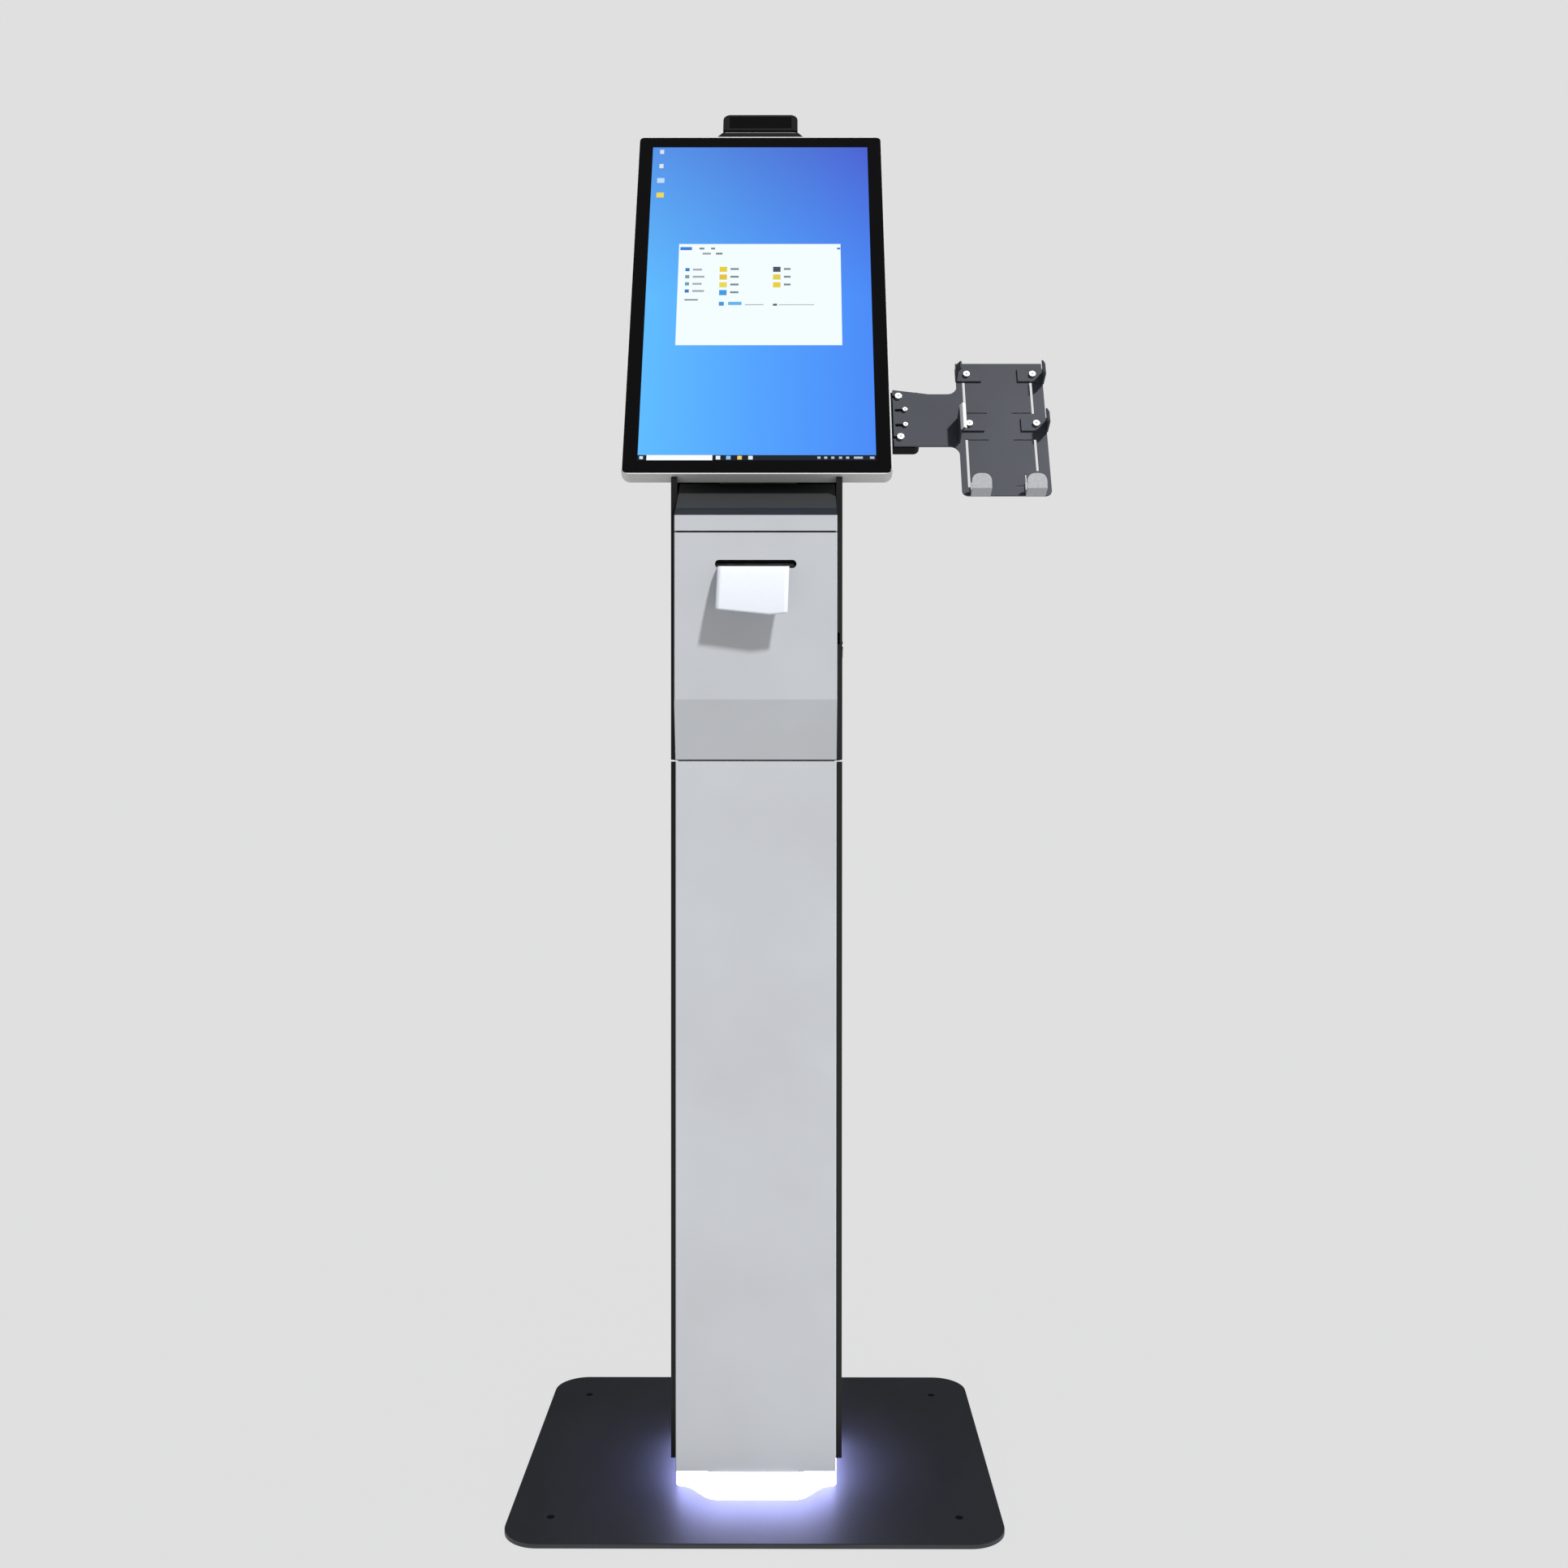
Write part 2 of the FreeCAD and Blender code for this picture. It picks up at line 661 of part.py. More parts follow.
def hinge_pin():
    shaft = rod((HINGE_X, HINGE_Y, "hinge_low - 2"), "pin_radius", "5 * knuckle_long + 4")
    head = rod((HINGE_X, HINGE_Y, "hinge_low + 5 * knuckle_long + 0.2"), "pin_radius + 1", "2")
    return node("hinge_pin", join(shaft, head))


LOCK_IN = "(cover_wide / 2 + 0.5)"
LOCK_OUT = "(shell_wide / 2 + 0.8)"


def lock_body():
    barrel = rod((LOCK_IN, LOCK_Y, "lock_height"), "lock_radius", "%s - %s" % (LOCK_OUT, LOCK_IN), "x")
    flange = rod(("shell_wide / 2 + 0.05", LOCK_Y, "lock_height"), "lock_radius + 2",
                 "%s - shell_wide / 2 - 0.05" % LOCK_OUT, "x")
    nut = rod((LOCK_IN + " + 1", LOCK_Y, "lock_height"), "lock_radius + 2", "2.5", "x")
    bore = rod((LOCK_IN + " - 1", LOCK_Y, "lock_height"), "plug_radius + running_gap", "30", "x")
    return node("lock_body", cut(join(barrel, flange, nut), bore))


def lock_cam():
    cam_x = LOCK_IN + " - cam_thick - 0.2"
    plug = rod((cam_x, LOCK_Y, "lock_height"), "plug_radius", LOCK_OUT + " + 0.2 - (%s)" % cam_x, "x")
    cam = box((cam_x, LOCK_Y + " - cam_reach", "lock_height - cam_wide / 2"),
              ("cam_thick", "cam_reach", "cam_wide"))
    key_slot = box((LOCK_OUT + " - 2", LOCK_Y + " - 3", "lock_height - 0.5"), ("10", "6", "1"))
    return node("lock_cam", cut(join(plug, cam), key_slot))


# ---------------------------------------------------------------- printer, carried inside the door

PAPER_X = "(paper_left + paper_wide / 2)"
CHASSIS_LEFT = "(%s - chassis_wide / 2)" % PAPER_X


def slot_mouth():
    """The black funnel that leads the paper from the cutter to the slot in the door."""
    back = "chassis_front - 0.2"
    front = "door_front + cover_wall + 0.1"
    deep = "(%s) - (%s)" % (back, front)
    outer = box(("-slot_wide / 2 - 4", front, "slot_height - slot_high / 2 - 4"),
                ("slot_wide + 8", deep, "slot_high + 8"))
    way = slot_tool("-(slot_wide - mouth_high) / 2", "(slot_wide - mouth_high) / 2", front + " - 5", "30",
                    "slot_height", "mouth_high / 2")
    return node("slot_mouth", cut(outer, way))


def printer_chassis():
    deep = "chassis_back - chassis_front"
    outer = box((CHASSIS_LEFT, "chassis_front", "chassis_low"),
                ("chassis_wide", deep, "chassis_high - chassis_low"))
    inner = box((CHASSIS_LEFT + " + chassis_wall", "chassis_front + chassis_wall", "chassis_low - 1"),
                ("chassis_wide - 2 * chassis_wall", deep, "chassis_high - chassis_low + 1 - chassis_wall"))
    way = box(("-slot_wide / 2", "chassis_front - 5", "slot_height - mouth_high / 2"),
              ("slot_wide", "10", "mouth_high"))
    bearing = rod((CHASSIS_LEFT + " - 5", "platen_back", "platen_height"), "shaft_radius + running_gap",
                  "chassis_wide + 10", "x")
    motor_bore = rod((CHASSIS_LEFT + " + chassis_wide - 10", "platen_back", "platen_height - gear_space"),
                     "shaft_radius + 0.5", "20", "x")
    flanges = [box((place, "door_front + cover_wall + 0.1", "chassis_high - 15"),
                   ("chassis_wall", "chassis_front - door_front - cover_wall - 0.1 + 1", "13"))
               for place in (CHASSIS_LEFT, CHASSIS_LEFT + " + chassis_wide - chassis_wall")]
    lid_pin = rod((CHASSIS_LEFT + " - 5", "chassis_back - 3", "chassis_low + 4"), "1.5 + running_gap",
                  "chassis_wide + 10", "x")
    case = cut(join(outer, *flanges), inner, way, bearing, motor_bore, lid_pin)
    return node("printer_chassis", join(case, cutter_guide()))


def print_head():
    """Heat sink and heater line that press the paper on the platen from behind."""
    back = "(platen_back + platen_radius + 0.3)"
    block = box((CHASSIS_LEFT + " + chassis_wall + 0.2", back, "platen_height - 3"),
                ("chassis_wide - 2 * chassis_wall - 0.4", "3", "24"))
    fins = [box((CHASSIS_LEFT + " + %d" % (6 + 8 * n), back + " + 3", "platen_height + 9"),
                ("2", "7", "12"))
            for n in range(11)]
    return node("print_head", join(block, *fins))


def cutter_guide():
    """The guide of the cutter inside the chassis: two posts and a top bar in front of the platen."""
    low = "slot_height - 9"
    front = "chassis_front + chassis_wall + 0.2"
    bar = box((CHASSIS_LEFT + " + chassis_wall + 0.2", front, "slot_height + 12"),
              ("chassis_wide - 2 * chassis_wall - 0.4", "6", "8"))
    posts = [box((place, front, low), ("3", "6", "22"))
             for place in (CHASSIS_LEFT + " + chassis_wall + 0.2",
                           CHASSIS_LEFT + " + chassis_wide - chassis_wall - 3.2")]
    groove = box((CHASSIS_LEFT + " + chassis_wall + 1.5", front + " + 2", low + " - 1"),
                 ("chassis_wide - 2 * chassis_wall - 3", "1.6", "40"))
    return cut(join(bar, *posts), groove)


def cutter_blade():
    front = "chassis_front + chassis_wall + 0.2"
    plate = box((CHASSIS_LEFT + " + chassis_wall + 1.8", front + " + 2.3", "slot_height + 3"),
                ("chassis_wide - 2 * chassis_wall - 3.6", "1", "15"))
    return node("cutter_blade", plate)


def gear(centre, teeth, face, reach, root, tooth, phase, x_low):
    """A spur gear about X with straight-sided teeth that leave room for the mating ones."""
    hub = rod((x_low, centre[0], centre[1]), root, face, "x")
    parts = [hub]
    for n in range(teeth):
        bar = doc.addObject("Part::Box", "tooth")
        bar.Placement = FreeCAD.Placement(Vector(), Turn(Vector(1, 0, 0), 1))
        drive(bar, {"Length": face, "Width": str(tooth), "Height": reach})
        angle = phase + 360.0 * n / teeth
        drive(bar, {"Placement.Rotation.Angle": "%r" % angle, BASES[0]: x_low,
                    BASES[1]: "%s - %s * cos(%r)" % (centre[0], tooth / 2, angle),
                    BASES[2]: "%s - %s * sin(%r)" % (centre[1], tooth / 2, angle)})
        parts.append(bar)
    return join(*parts)


GEAR_X = CHASSIS_LEFT + " + chassis_wide + 1"


def platen_roller():
    centre = ("platen_back", "platen_height")
    shaft = rod((CHASSIS_LEFT + " - 2",) + centre, "shaft_radius", "chassis_wide + 8", "x")
    rubber = rod((CHASSIS_LEFT + " + chassis_wall + 2",) + centre, "platen_radius",
                 "chassis_wide - 2 * chassis_wall - 4", "x")
    wheel = gear(centre, 20, "5", "11", "8.6", 1.1, 0.0, GEAR_X)
    return node("platen_roller", join(shaft, rubber, wheel))


def feed_motor():
    """Stepper motor under the platen, on the right cheek, with a bore for the pinion's shaft."""
    centre = ("platen_back", "platen_height - gear_space")
    left = CHASSIS_LEFT + " + chassis_wide - chassis_wall - 22.2"
    can = rod((left,) + centre, "8.5", "22", "x")
    bore = rod((left + " + 12",) + centre, "shaft_radius + running_gap", "20", "x")
    return node("feed_motor", cut(can, bore))


def motor_pinion():
    centre = ("platen_back", "platen_height - gear_space")
    wheel = gear(centre, 10, "5", "5.9", "3.6", 1.0, 18.0, GEAR_X)
    shaft = rod((CHASSIS_LEFT + " + chassis_wide - chassis_wall - 9",) + centre, "shaft_radius",
                "chassis_wall + 12", "x")
    return node("motor_pinion", join(wheel, shaft))


def printer_lid():
    """Rear flap over the paper path, hinged at its lower edge."""
    low = "chassis_low"
    inner = "chassis_wide - 2 * chassis_wall - 0.6"
    left = CHASSIS_LEFT + " + chassis_wall + 0.3"
    flap = box((left, "chassis_back - 4", low + " + 2"), (inner, "2", "lid_high"))
    ears = [rod((place, "chassis_back - 3", "chassis_low + 4"), "1.5", "chassis_wall + 2", "x")
            for place in (CHASSIS_LEFT, CHASSIS_LEFT + " + chassis_wide - chassis_wall - 2")]
    pull = box((left + " + 35", "chassis_back - 2.5", low + " + lid_high - 6"), ("26", "6", "2"))
    return node("printer_lid", join(flap, pull, *ears))


def roll_tray():
    """The open bucket under the printer that holds the paper roll."""
    outer_low = "roll_height - roll_radius - 4"
    left = "(%s - paper_wide / 2 - 4)" % PAPER_X
    wide = "paper_wide + 8"
    cheeks = [box((place, "door_front + cover_wall + 0.1", outer_low),
                  ("2", "roll_back + roll_radius - 4 - door_front - cover_wall",
                   "chassis_low - (%s) - 0.2" % outer_low))
              for place in (left, "%s + %s - 2" % (left, wide))]
    back = box((left, "roll_back + roll_radius + 1.2", outer_low), (wide, "1.5", "roll_radius * 1.3"))
    bottom = box((left, "door_front + cover_wall + 0.1", outer_low),
                 (wide, "roll_back + roll_radius + 2.6 - door_front - cover_wall", "1.5"))
    foot = box((left, "roll_back + roll_radius - 6", outer_low), ("2", "8", "roll_radius * 1.3"))
    foot_b = box(("%s + %s - 2" % (left, wide), "roll_back + roll_radius - 6", outer_low),
                 ("2", "8", "roll_radius * 1.3"))
    bore = rod((left + " - 5", "roll_back", "roll_height"), "core_radius - 3 + slide_gap",
               "paper_wide + 20", "x")
    return node("roll_tray", cut(join(back, bottom, foot, foot_b, *cheeks), bore))


def roll_spindle():
    left = "(%s - paper_wide / 2 - 5)" % PAPER_X
    shaft = rod((left, "roll_back", "roll_height"), "core_radius - 3", "paper_wide + 10", "x")
    return node("roll_spindle", shaft)


def paper_roll():
    left = "(%s - paper_wide / 2)" % PAPER_X
    paper = rod((left, "roll_back", "roll_height"), "roll_radius", "paper_wide", "x")
    core = rod((left + " - 1", "roll_back", "roll_height"), "core_radius - 3 + running_gap * 1.6",
               "paper_wide + 2", "x")
    return node("paper_roll", cut(paper, core))


def ticket():
    """The printed ticket: it rests on the lower lip of the slot and hangs forward and down."""
    body = new_body("slip")
    start = "chassis_front - 1"
    low = "slot_height - mouth_high / 2 + 0.1"
    bend = "door_front - 1.5"
    tip = ("door_front - 19", "slot_height - slot_high / 2 - paper_drop + 4")
    knee = ("door_front - 8", "slot_height - slot_high / 2 - 6")
    points = [(start, low), (bend, low), knee, tip, (tip[0] + " - paper_thick", tip[1]),
              (knee[0] + " - paper_thick", knee[1] + " + 0.1"), (bend + " - 0.1", low + " + paper_thick"),
              (start, low + " + paper_thick")]
    pad(body, "YZ_Plane", points, "paper_wide", "paper_left")
    return node("ticket", body)


# ---------------------------------------------------------------- screen

def rounded_block(name, half_wide, low, high, front, back, corner):
    """A block square to the glass with rounded corners, from front to back in depth."""
    body = new_body(name)
    pad(body, "XZ_Plane", rectangle("-(%s)" % half_wide, low, half_wide, high),
        "(%s) - (%s)" % (back, front), "-(%s)" % back)
    soften(body, corner, lambda edge: runs(edge, Y_AXIS))
    return body


def screen_shell():
    rim = rounded_block("rim", "glass_wide / 2 + rim_proud", "-rim_proud", "glass_high + rim_proud",
                        "0.4", "rim_deep", "rim_round")
    back_y = size("rim_deep")
    soften(rim, "5", lambda edge: near(edge.BoundBox.YMin, back_y) and near(edge.BoundBox.YMax, back_y))
    bulge = rounded_block("bulge", "glass_wide / 2 - back_inset", "back_inset", "glass_high - back_inset",
                          "rim_deep - 4", "back_deep", "14")
    deep = size("back_deep")
    soften(bulge, "6", lambda edge: near(edge.BoundBox.YMin, deep) and near(edge.BoundBox.YMax, deep))
    rim_room = rounded_block("rim_room", "glass_wide / 2 + fit_gap", "-fit_gap", "glass_high + fit_gap",
                             "-2", "rim_deep - screen_wall", "glass_round + fit_gap")
    back_room = rounded_block("back_room", "glass_wide / 2 - back_inset - screen_wall",
                              "back_inset + screen_wall",
                              "glass_high - back_inset - screen_wall", "0", "back_deep - screen_wall", "12")
    holes = [rod((side + "vesa_span / 2", "0", "vesa_height %s vesa_span / 2" % end),
                 "screw_radius + slide_gap", "80", "y")
             for side in ("-", "") for end in ("-", "+")]
    vents = [box(("-27 + %d" % (10 * n), "back_deep - 6", "glass_high - 170"),
                 ("4", "12", "60")) for n in range(6)]
    return node("screen_shell", lean(cut(join(rim, bulge), rim_room, back_room, *holes, *vents)))


def touch_glass():
    body = rounded_block("glass", "glass_wide / 2", "0", "glass_high", "0", "glass_thick", "glass_round")
    return node("touch_glass", lean(body))


def lcd_panel():
    panel = box(("-glass_wide / 2 + bezel - 6", "glass_thick + 0.2", "bezel - 8"),
                ("glass_wide - 2 * bezel + 12", "panel_thick", "glass_high - 2 * bezel + 16"))
    return node("lcd_panel", lean(panel))


def screen_frame():
    """Steel tray behind the panel: it clamps the panel and carries the board and the fan."""
    front = "glass_thick + panel_thick + 0.4"
    tray = box(("-glass_wide / 2 + 4", front, "4"), ("glass_wide - 8", "1.5", "glass_high - 8"))
    posts = [box((side, "glass_thick + 0.2", low), ("5", "panel_thick + 1", "12"))
             for side in ("-glass_wide / 2 + 4", "glass_wide / 2 - 9") for low in ("40", "glass_high - 60")]
    return node("screen_frame", lean(join(tray, *posts)))


def main_board():
    front = "glass_thick + panel_thick + 6"
    board = box(("-80", front, "190"), ("160", "1.6", "120"))
    studs = [rod((across, "glass_thick + panel_thick + 1.9 + 0.1", up), "2.5", "4.2", "y")
             for across in ("-74", "74") for up in ("196", "304")]
    chips = [box((across, front + " + 1.5", up), extent) for across, up, extent in
             (("-20", "235", ("40", "9", "40")), ("-70", "215", ("30", "6", "14")),
              ("35", "200", ("38", "12", "16")),
              ("-66", "270", ("50", "4", "8")), ("-66", "284", ("50", "4", "8")))]
    return node("main_board", lean(join(board, *studs, *chips)))


FAN_UP = "(glass_high - 140)"
FAN_FRONT = "(back_deep - screen_wall - 0.3 - 15)"


def fan_frame():
    square = box(("-30", FAN_FRONT, FAN_UP + " - 30"), ("60", "15", "60"))
    round_way = rod(("0", FAN_FRONT + " - 1", FAN_UP), "28", "17", "y")
    spokes = [box((across, FAN_FRONT, up), extent) for across, up, extent in
              (("-1.5", FAN_UP + " - 29", ("3", "2", "58")), ("-29", FAN_UP + " - 1.5", ("58", "2", "3")))]
    boss = rod(("0", FAN_FRONT, FAN_UP), "11", "2", "y")
    axle = rod(("0", FAN_FRONT, FAN_UP), "1.5", "12", "y")
    return node("fan_frame", lean(join(cut(square, round_way), boss, axle, *spokes)))


def fan_rotor():
    hub = rod(("0", FAN_FRONT + " + 2.5", FAN_UP), "10", "11", "y")
    blades = []
    for n in range(7):
        blade = doc.addObject("Part::Box", "blade")
        turn = Turn(Vector(0, 1, 0), 360.0 * n / 7)
        pitch = Turn(Vector(0, 0, 1), 40)
        blade.Placement = FreeCAD.Placement(turn.multVec(Vector(-4, -2.5, 8)), turn.multiply(pitch))
        drive(blade, {"Length": "11", "Width": "1.2", "Height": "17.5"})
        blades.append(blade)
    blade_set = join(*blades)
    drive(blade_set, {BASES[1]: FAN_FRONT + " + 6.5", BASES[2]: FAN_UP})
    bore = rod(("0", FAN_FRONT, FAN_UP), "1.5 + running_gap", "12.2", "y")
    return node("fan_rotor", lean(cut(join(hub, blade_set), bore)))


def mount_plate():
    low = "vesa_height - vesa_span / 2 - 13"
    plate = box(("-vesa_span / 2 - 15", "back_deep + fit_gap", low),
                ("vesa_span + 30", "mount_thick", "vesa_span + 26"))
    holes = [rod((side + "vesa_span / 2", "0", "vesa_height %s vesa_span / 2" % end),
                 "screw_radius + slide_gap", "80", "y")
             for side in ("-", "") for end in ("-", "+")]
    cable_way = box(("-20", "0", "vesa_height - 30"), ("40", "90", "40"))
    return node("mount_plate", lean(cut(plate, cable_way, *holes)))


def mount_screws():
    back = "back_deep + fit_gap + mount_thick"
    screws = []
    for side in ("-", ""):
        for end in ("-", "+"):
            place = (side + "vesa_span / 2", "vesa_height %s vesa_span / 2" % end)
            shank = rod((place[0], "back_deep - screen_wall - 3", place[1]), "screw_radius",
                        "mount_thick + screen_wall + 4", "y")
            head = rod((place[0], back + " + 0.05", place[1]), "screw_radius * 1.75", "2.4", "y")
            screws.append(join(shank, head))
    return node("mount_screws", lean(join(*screws)))


# ---------------------------------------------------------------- camera

CAMERA_LOW = "(glass_high + rim_proud + camera_foot)"


def camera_saddle():
    """The low hump on the screen's top edge that carries the camera on its foot plate."""
    hump = new_body("hump")
    low = "glass_high + rim_proud + 0.1"
    high = "glass_high + rim_proud + camera_foot - 2"
    pad(hump, "XZ_Plane",
        [("-hump_wide / 2", low), ("hump_wide / 2", low), ("hump_wide / 2 - 8", high),
         ("-hump_wide / 2 + 8", high)],
        "rim_deep - 4", "-rim_deep + 2")
    return node("camera_saddle", lean(hump))


def camera_foot():
    plate = box(("-camera_wide / 2 + 2", "3", "glass_high + rim_proud + camera_foot - 1.95"),
                ("camera_wide - 4", "camera_deep - 6", "1.9"))
    return node("camera_foot", lean(plate))


def camera_housing():
    body = new_body("camera")
    pad(body, "XZ_Plane",
        rectangle("-camera_wide / 2", CAMERA_LOW, "camera_wide / 2", CAMERA_LOW + " + camera_high"),
        "camera_deep", "-camera_deep - 0.5")
    top = size("glass_high") + size("rim_proud") + size("camera_foot") + size("camera_high")
    soften(body, "camera_round", lambda edge: runs(edge, Y_AXIS) and near(edge.BoundBox.ZMax, top))
    soften(body, "1", lambda edge: near(edge.BoundBox.YMin, 0.5) and near(edge.BoundBox.YMax, 0.5))
    hollow = box(("-camera_wide / 2 + 3", "3", CAMERA_LOW + " + 2"),
                 ("camera_wide - 6", "camera_deep - 4", "camera_high - 10"))
    window_seat = box(("-camera_wide / 2 + 8", "0", CAMERA_LOW + " + 4"),
                      ("camera_wide - 16", "1.6", "camera_high - 8"))
    bore = rod(("0", "0", CAMERA_LOW + " + camera_high / 2"), "6.2", "10", "y")
    return node("camera_housing", lean(cut(body, hollow, window_seat, bore)))


def camera_window():
    pane = box(("-camera_wide / 2 + 8.2", "0.7", CAMERA_LOW + " + 4.2"),
               ("camera_wide - 16.4", "0.8", "camera_high - 8.4"))
    return node("camera_window", lean(pane))


def camera_lens():
    lens = rod(("0", "1.7", CAMERA_LOW + " + camera_high / 2"), "6", "6.8", "y")
    bore = rod(("0", "1", CAMERA_LOW + " + camera_high / 2"), "3.6", "2", "y")
    board = box(("-14", "8.3", CAMERA_LOW + " + 4"), ("28", "1.2", "13"))
    board_tail = box(("-40", "8.3", CAMERA_LOW + " + 3"), ("80", "1.2", "6"))
    return node("camera_lens", lean(join(cut(lens, bore), board, board_tail)))


# ---------------------------------------------------------------- terminal cradle

ARM_BACK = "(arm_front + arm_thick)"
ARM_SCREWS = (  # place along and up the glass, head radius, and length of its slot in the plate
    ("161.5", "arm_high - 10", "4", "arm_travel + 1"),
    ("168.5", "arm_high - 29", "2.7", "arm_travel + 3.5"),
    ("168.5", "arm_low + 29", "2.7", "arm_travel + 3.5"),
    ("162.5", "arm_low + 12", "4", "arm_travel + 1"),
)
JAWS = {  # the side it grips from, the height of its screw, and how far its wall goes below and above that
    "upper_left": (1, "138", "9", "1"),
    "upper_right": (-1, "138", "12", "3"),
    "middle_left": (1, "68", "24", "10"),
    "middle_right": (-1, "68", "10", "5"),
}


def jaw_screw_x(sign):
    """Where a jaw's screw stands at rest: near the plate's edge, with the travel towards its middle."""
    return "cradle_left + 12" if sign > 0 else "cradle_right - 12"


def cradle_plate():
    body = new_body("cradle")
    left = "cradle_left"
    right = "cradle_right"
    points = [("arm_left", "arm_low"), (left, "arm_low"), (left, "cradle_low"), (right, "cradle_low"),
              (right, "cradle_high"), (left, "cradle_high"), (left, "arm_high - 6"),
              (left + " - 32", "arm_high - 6"),
              ("arm_left", "arm_high")]
    pad(body, "XZ_Plane", points, "arm_thick", "-arm_front - arm_thick")
    low = size("cradle_low")
    inner = size("cradle_left")
    soften(body, "cradle_corner", lambda edge: runs(edge, Y_AXIS) and near(edge.BoundBox.ZMin, low))
    soften(body, "cradle_neck", lambda edge: runs(edge, Y_AXIS) and near(edge.BoundBox.XMin, inner)
           and size("arm_low") - 1 < edge.BoundBox.ZMin < size("arm_high") + 1)
    tools = []
    through = "arm_front - 1"
    thick = "arm_thick + 2"
    for side, inset, foot in (("left", "8.5", "-17"), ("right", "14", "5")):
        edge = "(cradle_%s %s %s)" % (side, "+" if side == "left" else "-", inset)
        for low_end, high_end, turn in (("85", "128", "85"), (foot, "47.5", "47.5")):
            tall = "(%s) - (%s) + light_slot / 2" % (high_end, low_end)
            tools.append(box((edge + " - light_slot / 2", through, low_end), ("light_slot", thick, tall)))
            start = edge + (" - light_slot / 2" if side == "left" else " + light_slot / 2 - slot_reach")
            tools.append(box((start, through, turn + " - dark_slot / 2"),
                             ("slot_reach", thick, "dark_slot")))
    tools.append(box(("cradle_right - 28.5", through, "-15"), ("1.5", thick, "16")))
    tools.append(box(("cradle_right - 39", through, "-16.5"), ("12", thick, "1.5")))
    for sign, height, _, _ in JAWS.values():
        start = jaw_screw_x(sign)
        ends = (start, start + " + jaw_travel") if sign > 0 else (start + " - jaw_travel", start)
        tools.append(slot_tool(ends[0], ends[1], through, thick, height, "screw_radius + slide_gap"))
    for across, up, _, reach in ARM_SCREWS:
        tools.append(slot_tool("%s - (%s)" % (across, reach), across, through, thick, up,
                               "screw_radius + slide_gap"))
    for across in HOOKS.values():
        tools.append(rod((across, through, "cradle_low + 9"), "screw_radius + slide_gap", thick, "y"))
    return node("cradle_plate", lean(cut(body, *tools)))


def arm_block():
    body = new_body("bracket")
    left = "glass_wide / 2 + rim_proud + 0.2"
    pad(body, "XZ_Plane", rectangle(left, "arm_low - block_drop", "block_right", "arm_high - 2"), "12",
        "-arm_front - arm_thick - 12.1")
    low = size("arm_low") - size("block_drop")
    soften(body, "7", lambda edge: runs(edge, Y_AXIS) and near(edge.BoundBox.ZMin, low)
           and near(edge.BoundBox.XMin, size("block_right")))
    bores = [rod((across, "0", up), "screw_radius", "14", "y") for across, up, _, _ in ARM_SCREWS]
    return node("arm_block", lean(cut(body, *bores)))


def arm_screws():
    screws = []
    for across, up, head_radius, _ in ARM_SCREWS:
        shank = rod((across, "arm_front - 1", up), "screw_radius - running_gap", "9", "y")
        head = rod((across, "arm_front - 2.6 - slide_gap", up), head_radius, "2.6", "y")
        socket = rod((across, "arm_front - 3 - slide_gap", up), "1.1", "1.8", "y")
        screws.append(cut(join(shank, head), socket))
    return node("arm_screws", lean(join(*screws)))


JAW_FRONT = "(arm_front - slide_gap - jaw_thick)"


def flare_block(sign, corner, across, along, low, high):
    """A block set along a jaw's flare. Both its ranges start at the flare's corner."""
    turn = 180 + 30 * sign
    item = doc.addObject("Part::Box", "flare")
    item.Placement = FreeCAD.Placement(Vector(), Turn(Z_AXIS, 1))
    drive(item, {"Length": "(%s) - (%s)" % (across[1], across[0]),
                 "Width": "(%s) - (%s)" % (along[1], along[0]),
                 "Height": "(%s) - (%s)" % (high, low),
                 "Placement.Rotation.Angle": "%d" % turn})
    away = "%s + (%s) * cos(%d) - (%s) * sin(%d)" % (corner[0], across[0], turn, along[0], turn)
    back = "%s + (%s) * sin(%d) + (%s) * cos(%d)" % (corner[1], across[0], turn, along[0], turn)
    return drive(item, {BASES[0]: away, BASES[1]: back, BASES[2]: low})


def jaw_wall_x(sign):
    return "(cradle_left - 1)" if sign > 0 else "(cradle_right + 1 - jaw_thick)"


def flare_corner(sign):
    return (jaw_wall_x(sign) + " + jaw_thick", JAW_FRONT + " - jaw_out + 0.6")


def jaw(name, sign, height, below, above):
    """A sliding jaw: a foot on the plate, a wall that grips the terminal and a flared front edge."""
    low = "(%s) - (%s)" % (height, below)
    high = "(%s) + (%s)" % (height, above)
    foot_x = "cradle_left - 1" if sign > 0 else "cradle_right + 1 - jaw_long"
    foot = box((foot_x, JAW_FRONT, "(%s) - jaw_high / 2" % height), ("jaw_long", "jaw_thick", "jaw_high"))
    wall = box((jaw_wall_x(sign), JAW_FRONT + " - jaw_out", low),
               ("jaw_thick", "jaw_out + jaw_thick", "(%s) - (%s)" % (high, low)))
    flare = flare_block(sign, flare_corner(sign), ("0", "jaw_thick"), ("0", "flare_reach"), low, high)
    bore = rod((jaw_screw_x(sign), JAW_FRONT + " - 1", height), "screw_radius + slide_gap",
               "jaw_thick + 2", "y")
    return node("jaw_" + name, lean(cut(join(foot, wall, flare), bore)))


